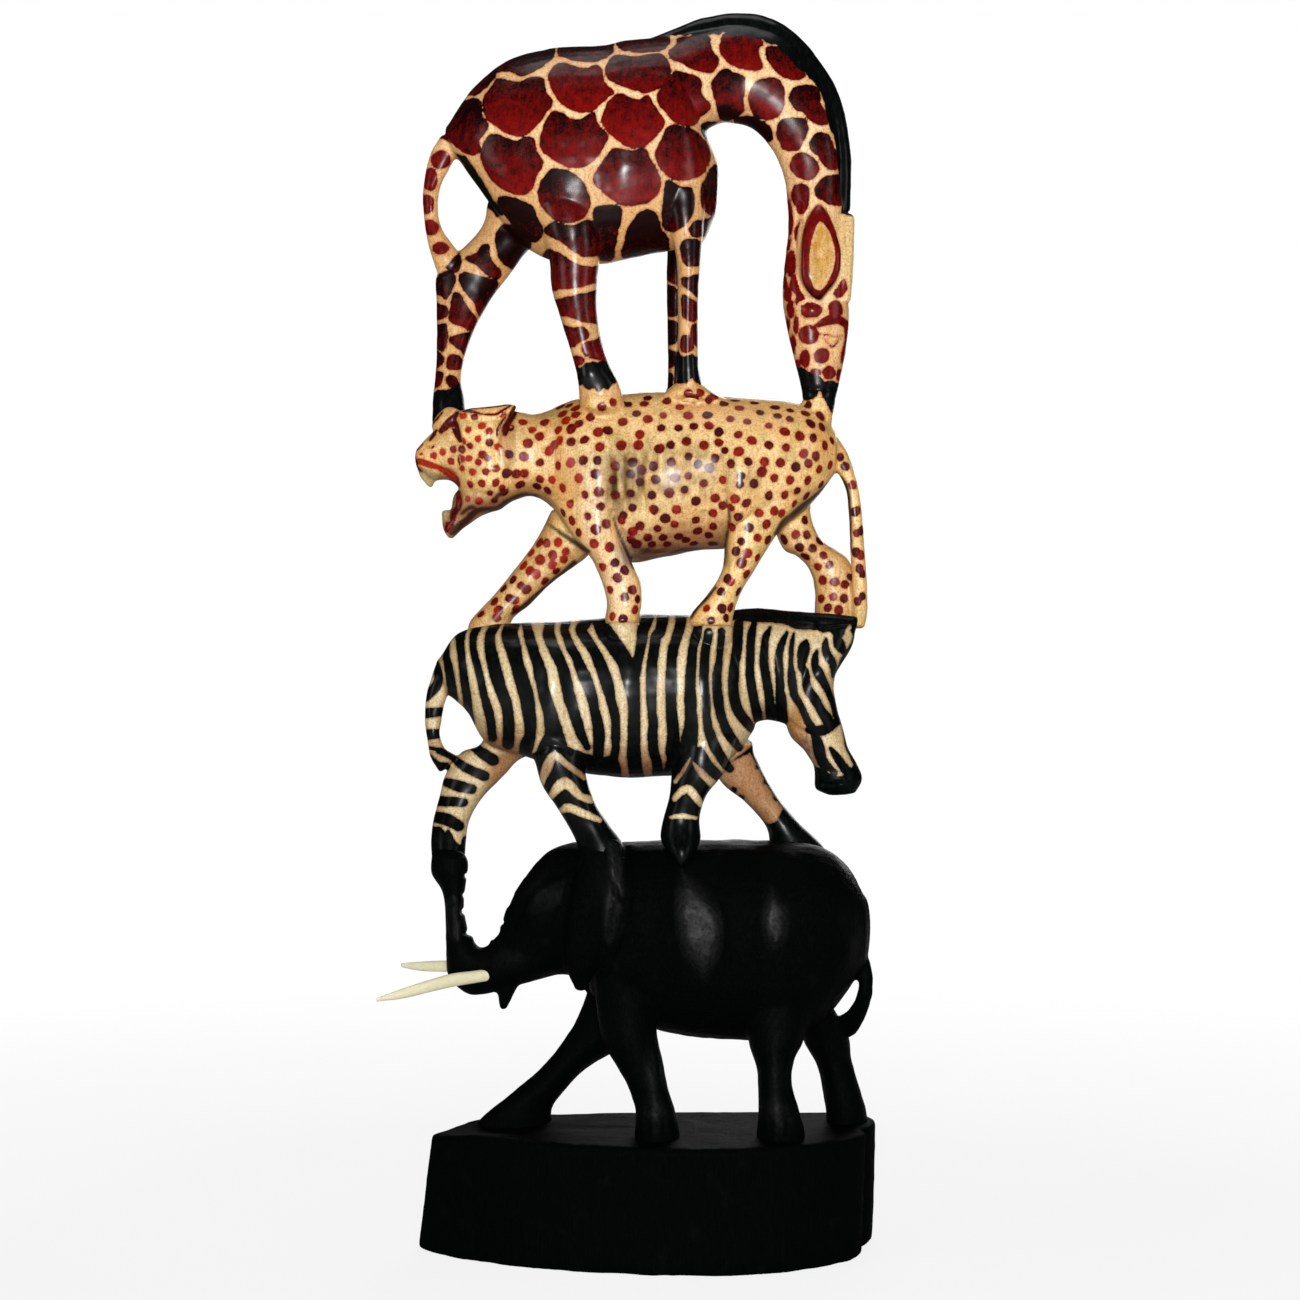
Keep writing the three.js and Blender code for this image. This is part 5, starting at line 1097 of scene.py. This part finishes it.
def paintZebra(piece):
    points, normals, seen = readSkin(piece)
    x, z = seen.T
    near = points[:, 1] < -0.5
    # stripes come out a little wider than drawn, less so on the head
    wander = 0.16 * grainOf(points, 4.5, 51) + 0.12 * grainOf(points, 1.5, 52)
    wander += 0.04 - 0.14 * ramp(58 - x, 0, 16)
    stripes = fromStrokes(seen, zebra["stripes"] + zebra["tailBands"])
    # the forehead's edge is black to its outline
    face = np.array(zebra["outerFace"], float)[::-1]
    edge = np.interp(z, face[:, 1], face[:, 0]) - x
    stripes = joined(stripes, onlyWhere(edge, (x > 60) & (z > 190)))
    black = joined(stripes, fromOutline(seen, zebra["maneBlack"]) + 2.2 * wander)
    farHind = fromStrokes(seen, zebra["farHindStripes"])
    farHind = joined(farHind, fromOutline(seen, zebra["farHindHoof"]) + 2 * wander)
    onFarHind = (x < -50) & (z < 204) & ((points[:, 1] > 0) | (z < 188))
    black = np.where(onFarHind, joined(farHind, onlyWhere(black, z > 200)), black)
    # the near legs are black with cream stripes left in it
    for leg, cream in (("nearHindBlack", "nearHindCream"), ("nearFrontBlack", "nearFrontCream")):
        whole = joined(black, fromOutline(seen, zebra[leg]) + wander)
        black = np.where(near, cutBy(whole, fromStrokes(seen, zebra[cream])), black)
    tan = fromOutline(seen, zebra["farFrontTan"]) + 2.4 * wander
    farFront = cutBy(fromOutline(seen, zebra["farFrontBlack"]), tan)
    underNearHind = onlyWhere(fromOutline(seen, zebra["nearHindBlack"]), z < 172)
    black = np.where(~near, joined(black, farFront, underNearHind), black)
    muzzle = joined(fromOutline(seen, zebra["muzzle"]) + 1.6 * wander, fromStrokes(seen, zebra["nostril"]))
    black = joined(black, onlyWhere(muzzle, x > 62)) + wander
    notches = joined(*(fromOval(seen, *place, 1.3, 1.1) for place in zebra["scallops"])) + wander
    black = joined(black, onlyWhere(notches, ~near))
    raw = np.maximum(between(x, -68, -60, -49, -45), ramp(x, 28, 33)) * ((points[:, 1] > 2) & (z < 202))
    throat = ramp(-fromOutline(seen, roundOff(zebra["throat"])), -1, 0.6)
    keepGround(piece, washed(
        groundOf(points, normals, zebra, 61), zebra,
        bellyShade=0.7 * between(x, *zebra["bellyAcross"]) * between(z, *zebra["bellyUp"]),
        raw=0.95 * raw, throatColour=throat * (0.75 + 0.3 * grainOf(points, 1.6, 62)),
        cheekColour=spread(seen, [zebra["cheekPlace"]]),
    ))
    keepFields(piece, black=black)


elephant = dict(
    voxel=0.88, rounds=5, wood=dict(stretch=0.3, roughness=0.42, ringDepth=0.25),
    limbs=dict(
        body=(2.5, 2), headAndTrunk=(0, 0.8), lowerLip=(0, 1), ear=(1, 1), tail=(0.8, 0.8),
        farFrontLeg=(0, 0), nearFrontLeg=(0, 0), nearHindLeg=(0, 0), farHindLeg=(0, 0),
    ),
    pairs=("ear",),
    body=[(86.7, 142, 86.3, 113, 15), (80.5, 153, 79, 102, 25), (70.5, 161, 69, 90.5, 31),
        (55, 163.5, 55, 84, 33.5), (35, 164, 35, 84, 34), (15, 164, 15, 86, 33), (-2, 163.5, -2, 90, 31),
        (-15, 162, -13, 95, 26), (-26, 155, -22, 102, 16)],
    headAndTrunk=[(-8, 160, -10, 108, 20), (-24, 163.5, -22, 108, 22), (-38, 160.5, -32, 110, 21),
        (-48, 150.5, -40, 109, 18), (-55, 139, -48, 107, 14), (-58.5, 130, -57, 104.5, 11),
        (-62, 123.5, -65, 102.5, 9), (-66, 121, -71, 102, 8.5), (-68.5, 122.5, -77, 106, 8),
        (-71, 125.5, -80, 111, 8), (-72, 130, -80.5, 120, 7.5), (-73, 137, -81, 133, 7),
        (-72.5, 146, -82, 144, 7.5), (-71.5, 152, -86, 150, 8), (-71.5, 156, -86.5, 155, 8),
        (-73, 159, -86, 159.5, 7.5)],
    lowerLip=[(-51, 107, -60, 106, 6), (-54, 101, -59.3, 101, 5), (-56, 97.2, -58.8, 97.2, 3.5)],
    ear=[(-26, 163, -11, 163.5, 3.5, -18), (-29, 150, -9.5, 152, 4.5, -21), (-31, 137, -10.5, 140, 4.5, -22),
        (-33, 122, -14, 125, 4.5, -20.5), (-32, 112, -20, 113, 4.5, -18),
        (-29, 105, -24.5, 104.5, 2.5, -16)],
    tail=[(86, 124, 80, 116, 3.5), (89.5, 113, 84.5, 109, 3.5), (90, 103, 84, 102, 3.5),
        (87.5, 93.5, 80.5, 96, 4, 4), (83.5, 86.5, 76, 93.5, 4.5, 9), (78, 84, 71, 91, 4.5, 12)],
    farFrontLeg=[(-20, 112, 4, 104, 13, 14), (-24, 103, 0, 90, 13, 15), (-30, 89, -12, 80, 12, 16),
        (-41, 74.5, -24, 73, 11, 17), (-52, 64.5, -33, 64, 11, 17), (-62, 56.5, -38, 57, 11, 17),
        (-68, 51, -38, 50, 11, 17), (-70, 46, -38, 46, 11, 17)],
    nearFrontLeg=[(-19, 124, 4, 128, 6, -10), (-21, 110, 5, 114, 10, -12), (-20, 96, 5, 100, 12, -14),
        (-18, 84, 4, 88, 12, -16), (-12, 73, 6, 76, 11, -17), (-7, 64, 8, 66, 10.5, -18),
        (-4.5, 55, 11, 57, 10.5, -18), (-5, 47, 13, 47, 11.5, -18), (-5, 42, 13, 42, 11.5, -18)],
    nearHindLeg=[(40, 124, 62, 124, 6, -12), (38, 110, 67, 110, 10, -13), (39, 97, 66, 97, 12, -15),
        (40.5, 83, 63, 84, 12, -17), (44, 73, 59, 76, 11, -18), (44.5, 63, 58, 66, 10.5, -18),
        (44.5, 55, 60.5, 57, 10.5, -18), (44, 47, 63, 48, 11.5, -18), (44, 42, 63, 42, 11.5, -18)],
    farHindLeg=[(58, 98, 74, 98, 12, 14), (63, 83, 80.5, 86, 11, 16), (68, 74, 81.5, 77, 10.5, 17),
        (70.5, 64, 84.5, 66, 10.5, 17), (71.5, 56, 87.5, 56, 11, 17), (71.5, 48, 88, 48, 11, 17)],
    carving=dict(
        swells=[(37, 128, 6, 22, -1.4), (3, 125, 6, 26, -1.8), (68, 118, 8, 20, -0.8), (84, 130, 5, 16, 0.6),
            (-27, 132, 6, 14, -0.8), (-44, 143, 8, 7, 1.0), (-46, 124, 8, 7, -1.0), (-52, 116, 8, 5, 0.8),
            (3, 70, 2.6, 14, 0.8), (51, 66, 3, 12, 0.6), (3, 54, 8, 5, 0.8), (52, 54, 8, 5, 0.8)],
        mounds=[
            # shoulder and hip, then the ear's rear rim in two steps, and a flat of the trunk
            (2.2, 7, [(13.2, 161), (17, 152), (27, 143), (33, 132), (32.6, 121), (27.6, 111), (22.6, 105),
                (17, 111), (11.6, 121), (9, 132), (9.4, 143), (11, 151)]),
            (2.0, 5.5, [(50, 147), (56, 140), (58.6, 130), (55.4, 121), (50, 118), (45.6, 124), (44, 132),
                (46, 141)]),
            (1.5, 2.2, [(-17, 165), (-9.4, 164.4), (-8.2, 155), (-8.8, 147), (-10, 140.6), (-13, 144.4),
                (-15.8, 149), (-16.4, 157)]),
            (0.9, 2.4, [(-15, 146), (-10.2, 139), (-11.4, 131), (-14, 121), (-18, 124), (-18, 137)]),
            (0.8, 1.4, [(-80, 141), (-75, 141), (-74, 131), (-74, 124), (-77, 122.6), (-79.6, 128)]),
        ],
        cuts=[
            (0.9, 1.3, [(-8, 160), (-6.8, 148), (-7.6, 138), (-10.4, 126), (-17, 111)]),
            (0.7, 1.1, [(-26, 158), (-30.6, 148), (-33.4, 136), (-35.4, 124), (-34, 112), (-31, 105)]),
            (0.7, 1.0, [(-44, 124), (-40, 129.6), (-35.6, 136)]),
            (0.5, 0.9, [(-44, 132.6), (-41, 134), (-38, 133)]),
            (0.6, 1.6, [(-53.4, 128), (-50, 137), (-43.6, 145), (-36, 150.4), (-27, 154)]),
            (0.8, 0.9, [(-86, 160), (-79, 158.6), (-73, 158.2)]),
            (0.4, 0.8, [(0.6, 46), (0.8, 49.5), (0.6, 52)]), (0.4, 0.8, [(6.4, 46), (6.4, 50), (6.2, 52.6)]),
            (0.4, 0.8, [(49.6, 46), (49.8, 50), (49.6, 52.6)]),
            (0.4, 0.8, [(56, 46), (56, 50), (55.8, 52.6)]),
        ],
        # the trunk's inner edge and the brow are nicked across
        nicks=[
            (1.0, 0.9, [(-72.6, 159.4), (-70, 159.4)]), (1.1, 0.9, [(-73.6, 149.8), (-70, 149.6)]),
            (0.8, 0.9, [(-73.6, 142), (-70, 142)]), (1.2, 1.0, [(-74, 135.6), (-70, 135.4)]),
            (1.0, 0.9, [(-72.6, 126.6), (-69, 127.6)]), (1.0, 0.9, [(-61.4, 124.6), (-60, 128)]),
            (0.8, 0.9, [(-57.6, 131), (-60, 131.6)]), (-0.9, 1.4, [(-62, 124), (-61, 124.6)]),
            (-0.8, 1.4, [(-70.6, 124.6), (-70, 125)]), (0.5, 0.8, [(-55.4, 138), (-53, 141.6)]),
            (0.5, 0.8, [(-48, 149), (-46.4, 150)]), (0.5, 0.8, [(-42.4, 155), (-41, 156)]),
        ],
        facet=0.34, polish=(0.015, 0.19), seed=12,
    ),
)


def buildAnimal(name, animal, paint=None):
    piece = fused(name, limbsOf(animal), animal["voxel"], animal["rounds"])
    carve(piece, **animal["carving"])
    if paint:
        paint(piece)
    return piece


logBase = dict(
    voxel=1.3, rounds=3, wood=dict(stretch=0.12, roughness=0.7, ringDepth=0),
    carving=dict(facet=0.3, polish=(0.005, 0), seed=15),
    height=49, roundOver=1.8,
    lean=(5.5, 1.5),  # how far the top stands to the right of the foot, at the left end and the right end
    wornDown=2.6, wornFrom=(72, 90),  # the top is lower by this much over the last stretch on the left
    plan=[(-91.8, 1), (-82.5, -9.8), (-68, -20), (-50, -29.5), (-30, -36.5), (-10, -41), (10, -43.5),
        (28, -44), (44, -41), (58, -36), (70, -29), (79.5, -20), (85, -10), (84.3, -1), (88.6, 5),
        (91.2, 14), (90.7, 25), (85, 33), (62, 36), (30, 36), (0, 35), (-30, 33), (-55, 29), (-76, 20),
        (-87, 9)],
)


def buildBase():
    # a closed plan curve carried up the height; it leans a little, its rims are rounded over and the top
    # is worn down at the left
    curve = roundOff(logBase["plan"], 8)
    tangent = np.roll(curve, -1, axis=0) - np.roll(curve, 1, axis=0)
    tangent /= np.linalg.norm(tangent, axis=1)[:, None]
    inward = np.column_stack([-tangent[:, 1], tangent[:, 0]])
    height, radius = logBase["height"], logBase["roundOver"]
    turn = np.radians([0, 22.5, 45, 67.5, 90])
    walls = np.linspace(4, height - 4, 12)
    z = np.concatenate([radius * (1 - np.cos(turn)), walls, height - radius * (1 - np.sin(turn))])
    inset = np.concatenate([radius * (1 - np.sin(turn)), np.zeros(len(walls)), radius * (1 - np.cos(turn))])
    rings = curve[None] + inward[None] * inset[:, None, None]
    risen = np.broadcast_to((z / height)[:, None], rings.shape[:2])
    x = rings[..., 0]
    lean = np.interp(x, [-90, 90], logBase["lean"]) * risen
    worn = logBase["wornDown"] * risen * ramp(-x, *logBase["wornFrom"])
    points = np.stack([x + lean, rings[..., 1], z[:, None] - worn], axis=2)
    middles = np.array([[0, 0, 0], [np.mean(logBase["lean"]), 0, height]])
    shape = closedTube(np.vstack([points.reshape(-1, 3), middles]), len(z), points.shape[1])
    piece = fused("base", [shape], logBase["voxel"], logBase["rounds"])
    carve(piece, **logBase["carving"])
    return piece


tusks = dict(
    near=[(-61, 113, -60.5, 108, 2.4, -5), (-68.5, 111.8, -68, 106.9, 2.5, -9.5),
        (-78, 110.6, -77.5, 105.3, 2.5, -16), (-88, 107.8, -87.5, 103, 2.3, -23),
        (-98, 104.5, -97.5, 100.6, 1.8, -29), (-107.6, 101, -107.6, 99.4, 0.8, -35)],
    far=[(-61, 114, -60.5, 109.5, 2.3, 5), (-69, 115.2, -69, 110.4, 2.4, 10.5),
        (-80, 115.8, -80, 111.2, 2.3, 18), (-90, 115.4, -90, 111.6, 1.9, 25),
        (-97.8, 114.8, -97.8, 113, 0.8, 30.5)],
)


def buildTusk(name, ribs):
    piece = bpy.data.objects.new(name, meshOf(name, [limb(ribs, (0.6, 0.8), power=2)]))
    bpy.context.scene.collection.objects.link(piece)
    piece.data.shade_smooth()
    return piece


class Wire:
    # one socket of a material; sums and products of wires add the nodes that work them out
    def __init__(self, tree, socket=None):
        self.tree, self.socket = tree, socket

    def node(self, kind, settings=None, sockets=None, output=0):
        made = self.tree.nodes.new("ShaderNode" + kind)
        for name, value in (settings or {}).items():
            if name == "stops":
                made.color_ramp.elements[0].position, made.color_ramp.elements[0].color = value[0]
                made.color_ramp.elements[1].position, made.color_ramp.elements[1].color = value[-1]
                for place, colour in value[1:-1]:
                    made.color_ramp.elements.new(place).color = colour
            else:
                setattr(made, name, value)
        for name, value in (sockets or {}).items():
            if isinstance(value, Wire):
                self.tree.links.new(value.socket, made.inputs[name])
            else:
                made.inputs[name].default_value = value
        return Wire(self.tree, made.outputs[output])

    def maths(self, operation, a, b=0.0, clamp=False):
        return self.node("Math", {"operation": operation, "use_clamp": clamp}, {0: a, 1: b})

    def __add__(self, other):
        return self.maths("ADD", self, other)

    def __radd__(self, other):
        return self.maths("ADD", other, self)

    def __sub__(self, other):
        return self.maths("SUBTRACT", self, other)

    def __rsub__(self, other):
        return self.maths("SUBTRACT", other, self)

    def __mul__(self, other):
        return self.maths("MULTIPLY", self, other)

    def __rmul__(self, other):
        return self.maths("MULTIPLY", other, self)

    def clipped(self):
        return self.maths("ADD", self, 0.0, clamp=True)

    def mix(self, a, b, share, blend="MIX"):
        return self.node("Mix", {"data_type": "RGBA", "blend_type": blend, "clamp_factor": True},
                         {0: share, 6: a, 7: b}, output=2)

    def attribute(self, name, output=2):
        return self.node("Attribute", {"attribute_name": name}, output=output)

    def noise(self, place, scale, detail=2.0, rough=0.5):
        sockets = {"Vector": place, "Scale": scale, "Detail": detail, "Roughness": rough}
        return self.node("TexNoise", None, sockets)

    def into(self, field, soft):
        # 1 where a field of millimetres is below 0, 0 where it is above, over a soft edge
        return self.maths("ADD", field * (-0.5 / soft), 0.5, clamp=True)


varnish = dict(
    roughness=0.5, gloss=0.014, woodGloss=0.006, coatRoughness=0.26, woodCoatRoughness=0.5, bumpDepth=0.0004,
)
# black paint, where it is brushed thin, and the black wood's worn grain and blotches
blacks = dict(
    deep=(0.0009, 0.0014, 0.0013, 1), thin=(0.005, 0.0095, 0.0085, 1), grain=(0.0028, 0.0037, 0.0033, 1),
    blotch=(0.006, 0.006, 0.005, 1),
)
# what multiplies the cream in its grain, its specks and its mottling, darker and lighter
cream = dict(
    grain=(0.60, 0.47, 0.38, 1), specks=(0.34, 0.24, 0.18, 1), bleached=(1.15, 1.30, 1.60, 1),
    mottled=(0.56, 0.45, 0.34, 1), cleared=(1.16, 1.36, 1.60, 1),
)
bones = dict(pale=(0.80, 0.75, 0.50, 1), grain=(0.66, 0.57, 0.33, 1), bleached=(0.86, 0.83, 0.64, 1))


def startMaterial(name):
    material = bpy.data.materials.new(name)
    material.use_nodes = True
    material.node_tree.nodes.clear()
    wire = Wire(material.node_tree)
    return material, wire, wire.node("TexCoord", output=3)


def finishMaterial(material, wire, colour, roughness, height, coat, strength=0.6,
                   coatRoughness=varnish["coatRoughness"], gloss=varnish["gloss"]):
    # the paint itself is matt; the gloss is a varnish coat, thick where the wood is rubbed
    bump = wire.node("Bump", None, {"Strength": strength, "Distance": varnish["bumpDepth"], "Height": height})
    shader = wire.node("BsdfPrincipled", None, {
        "Base Color": colour, "Roughness": roughness, "Normal": bump, "Coat Weight": coat,
        "Coat Roughness": coatRoughness, "Specular IOR Level": gloss,
    })
    out = material.node_tree.nodes.new("ShaderNodeOutputMaterial")
    material.node_tree.links.new(shader.socket, out.inputs[0])
    return material


def stretched(wire, place, factors):
    return wire.node("VectorMath", {"operation": "MULTIPLY"}, {0: place, 1: factors})


def paintedWood(name, paint):
    # cream ground with upright grain and specks; then red and black laid over it where their fields are
    # below 0, each with brush streaks and a softly wandering edge
    material, wire, place = startMaterial(name)
    upright = stretched(wire, place, (1, 1, 0.09))
    grain = wire.noise(upright, 900, 3, 0.6)
    fine = wire.noise(place, 2600, 2)
    blotch = wire.noise(place, 160, 3, 0.6)
    mottle = wire.noise(place, 1250, 3, 0.7)
    streak = wire.noise(stretched(wire, place, (1, 1, 0.25)), 700, 2, 0.6)
    specks = ((fine - 0.64) * 9).clipped() * ((blotch - 0.42) * 4).clipped()
    ground = wire.attribute("ground", output=0)
    ground = wire.mix(ground, cream["grain"], (grain - 0.50) * 2.4, "MULTIPLY")
    ground = wire.mix(ground, cream["specks"], specks * 0.55, "MULTIPLY")
    ground = wire.mix(ground, cream["bleached"], (wire.noise(upright, 420, 3, 0.6) - 0.50) * 2.4, "MULTIPLY")
    ground = wire.mix(ground, cream["mottled"], (mottle - 0.51) * 5.0, "MULTIPLY")
    ground = wire.mix(ground, cream["cleared"], (0.48 - mottle) * 4.4, "MULTIPLY")
    # a brown fringe shows round the paint where it has soaked in
    wobble = (wire.noise(place, 1100, 1) - 0.5) * 0.55
    black = wire.attribute("black") + wobble
    colour = wire.mix(ground, paint["fringe"], wire.into(black - 0.5, 0.3) * 0.6, "MULTIPLY")
    painted = wire.into(black, 0.4)
    if "redLight" in paint:
        red = wire.attribute("red") + wobble
        colour = wire.mix(colour, paint["fringe"], wire.into(red - 0.45, 0.3) * 0.55, "MULTIPLY")
        brushed = (streak - 0.5) * 0.9 + (mottle - 0.5) * 1.3
        uneven = brushed + (wire.noise(place, 330, 3, 0.65) - 0.5) * paint["patchy"]
        share = (wire.attribute("tone") + uneven + 0.1).clipped()
        colour = wire.mix(colour, wire.mix(paint["redLight"], paint["redDark"], share), wire.into(red, 0.16))
        painted = wire.maths("MAXIMUM", wire.into(red, 0.4), painted)
    isBlack = wire.into(black, 0.16)
    colour = wire.mix(colour, wire.mix(blacks["deep"], blacks["thin"], (streak - 0.45) * 1.6), isBlack)
    roughness = varnish["roughness"] + (blotch - 0.5) * 0.22 + (grain - 0.5) * 0.16 + isBlack * 0.02
    height = grain * 0.45 + fine * 0.15 + painted * 0.08 + wire.noise(place, 330, 2) * 0.7
    coat = (wire.attribute("shine") * (1.05 + (blotch - 0.5) * 1.6)).clipped()
    return finishMaterial(material, wire, colour, roughness, height, coat)


def blackWood(name, stretch, roughness, ringDepth):
    # black over brushed wood: fine upright scratches, a little grey where edges have rubbed, dull patches
    material, wire, place = startMaterial(name)
    grain = wire.noise(stretched(wire, place, (1, 1, stretch)), 1300, 4, 0.65)
    blotch = wire.noise(place, 90, 4, 0.6)
    fine = wire.noise(place, 2300, 2)
    colour = wire.mix(blacks["deep"], blacks["grain"], (grain - 0.42) * 1.5)
    colour = wire.mix(colour, blacks["blotch"], (blotch - 0.58) * 1.6)
    uneven = roughness + (grain - 0.5) * 0.30 + (blotch - 0.5) * 0.20
    # the log's yearly rings show as fine ovals where a bulge cuts them
    heart = wire.node("VectorMath", {"operation": "SUBTRACT"}, {0: place, 1: (0.03, 0.09, 0)})
    waves = {"Vector": heart, "Scale": 290, "Distortion": 3.2, "Detail": 2, "Detail Scale": 0.5}
    rings = wire.node("TexWave", {"wave_type": "RINGS", "rings_direction": "Z"}, waves, output=1)
    rough = wire.noise(place, 300, 2) * 0.9 + wire.noise(place, 900, 3, 0.7) * 0.7
    height = grain * 0.75 + fine * 0.3 + rough + rings * ringDepth
    scratched = 0.45 + rings * 0.22 + (wire.noise(place, 800, 3, 0.7) - 0.5) * 1.6 + (blotch - 0.5) * 0.8
    coat = (wire.attribute("shine") * scratched.clipped() * 1.5).clipped()
    return finishMaterial(material, wire, colour, uneven, height, coat, 0.75, varnish["woodCoatRoughness"],
                          varnish["woodGloss"])


def boneMaterial():
    # pale bone with a fine grain along the tusk
    material, wire, place = startMaterial("pale bone")
    grain = wire.noise(stretched(wire, place, (0.12, 0.5, 1)), 1500, 3, 0.6)
    blotch = wire.noise(place, 120, 3, 0.6)
    colour = wire.mix(bones["pale"], bones["grain"], (grain - 0.45) * 1.6)
    colour = wire.mix(colour, bones["bleached"], (blotch - 0.5) * 2)
    roughness = 0.36 + (grain - 0.5) * 0.25
    height = grain * 0.5 + blotch * 0.3
    return finishMaterial(material, wire, colour, roughness, height, 0.15 + blotch * 0.1, strength=0.4)


studio = dict(
    floor=(0.45, 0.45, 0.44, 1), floorPale=(0.84, 0.84, 0.83, 1),
    haze=0.84,  # how much of the white room already shows in the floor under the carving
    clearFrom=0.25, clearTo=0.80,  # the floor fades into the white room between these radii
    roomSeen=1.0, roomLight=0.03,
    middle=(0, 0, 0.25),  # what the soft boxes are turned to
    # soft boxes: (x, y, z), size across and up, watts
    boxes=[
        ((0.02, -1.28, 0.34), 0.24, 0.32, 13.2), ((1.0, -0.6, 0.45), 0.35, 0.7, 1.8),
        ((-1.0, -0.6, 0.50), 0.35, 0.7, 2.0), ((0, 0.0, 1.5), 0.9, 0.7, 5), ((0.25, 1.2, 0.55), 0.8, 0.8, 9),
    ],
)


def buildStudio():
    # a flat floor that fades out in a ring, boxes of light turned to the carving, and a white room
    side = np.linspace(-4, 4, 9)
    x, y = np.meshgrid(side, side, indexing="ij")
    corners = np.column_stack([x.ravel(), y.ravel(), np.zeros(x.size)])
    i, j = np.meshgrid(np.arange(8), np.arange(8), indexing="ij")
    here = (i * 9 + j).ravel()
    mesh = bpy.data.meshes.new("floor")
    mesh.from_pydata(corners.tolist(), [], np.column_stack([here, here + 9, here + 10, here + 1]).tolist())
    floor = bpy.data.objects.new("floor", mesh)
    bpy.context.scene.collection.objects.link(floor)
    material, wire, place = startMaterial("pale floor")
    tint = wire.mix(studio["floor"], studio["floorPale"], wire.noise(place, 3))
    radius = wire.node("VectorMath", {"operation": "LENGTH"}, {0: place}, output=1)
    clear = ((radius - studio["clearFrom"]) * (1 / (studio["clearTo"] - studio["clearFrom"]))).clipped()
    inPicture = wire.node("LightPath")
    matt = wire.node("BsdfDiffuse", None, {"Color": tint})
    white = wire.node("Emission", None, {"Color": (1, 1, 1, 1), "Strength": studio["roomSeen"]})
    hazy = (studio["haze"] + (1 - studio["haze"]) * clear) * inPicture
    both = wire.node("MixShader", None, {0: hazy, 1: matt, 2: white})
    out = material.node_tree.nodes.new("ShaderNodeOutputMaterial")
    material.node_tree.links.new(both.socket, out.inputs[0])
    mesh.materials.append(material)
    for k, (at, width, height, watts) in enumerate(studio["boxes"]):
        light = bpy.data.lights.new(f"soft box {k + 1}", "AREA")
        light.shape, light.size, light.size_y, light.energy = "ELLIPSE", width, height, watts
        box = bpy.data.objects.new(light.name, light)
        box.location = at
        east, north, up = np.array(studio["middle"]) - np.array(at)
        yaw, pitch = np.arctan2(-east, north), np.arctan2(np.hypot(east, north), -up)
        box.rotation_euler = (pitch, 0, yaw)
        bpy.context.scene.collection.objects.link(box)
    world = bpy.data.worlds.new("white room")
    world.use_nodes = True
    tree = world.node_tree
    tree.nodes.clear()
    wire = Wire(tree)
    strength = wire.node("LightPath") * (studio["roomSeen"] - studio["roomLight"]) + studio["roomLight"]
    background = wire.node("Background", None, {"Color": (1, 1, 1, 1), "Strength": strength})
    out = tree.nodes.new("ShaderNodeOutputWorld")
    tree.links.new(background.socket, out.inputs[0])
    bpy.context.scene.world = world
    bpy.context.scene.view_settings.view_transform = "Standard"


def buildCamera():
    data = bpy.data.cameras.new("camera")
    data.lens, data.sensor_width = eye["lens"], 36
    camera = bpy.data.objects.new("camera", data)
    camera.location = (eye["along"] * 0.001, -eye["distance"] * 0.001, eye["height"] * 0.001)
    camera.rotation_euler = (np.pi / 2, 0, 0)
    bpy.context.scene.collection.objects.link(camera)
    bpy.context.scene.camera = camera


buildCamera()
buildStudio()
print("studio ready")

finishes = dict(
    giraffe=paintedWood("giraffe paint", giraffe),
    leopard=paintedWood("leopard paint", leopard),
    zebra=paintedWood("zebra paint", zebra),
    elephant=blackWood("black elephant", **elephant["wood"]),
    base=blackWood("black base", **logBase["wood"]),
)
pieces = dict(
    giraffe=buildAnimal("giraffe", giraffe, paintGiraffe),
    leopard=buildAnimal("leopard", leopard, paintLeopard),
    zebra=buildAnimal("zebra", zebra, paintZebra),
    elephant=buildAnimal("elephant", elephant),
    base=buildBase(),
)
for name, piece in pieces.items():
    piece.data.materials.clear()
    piece.data.materials.append(finishes[name])
    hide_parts("carving")
    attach(piece, "root")
    print(name, "carved and painted:", len(piece.data.vertices), "points")

bone = boneMaterial()
for name, ribs, node in (("near_tusk", tusks["near"], "left_tusk"), ("far_tusk", tusks["far"], "right_tusk")):
    tusk = buildTusk(name, ribs)
    tusk.data.materials.append(bone)
    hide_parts(node)
    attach(tusk, "root")
print("tusks set")
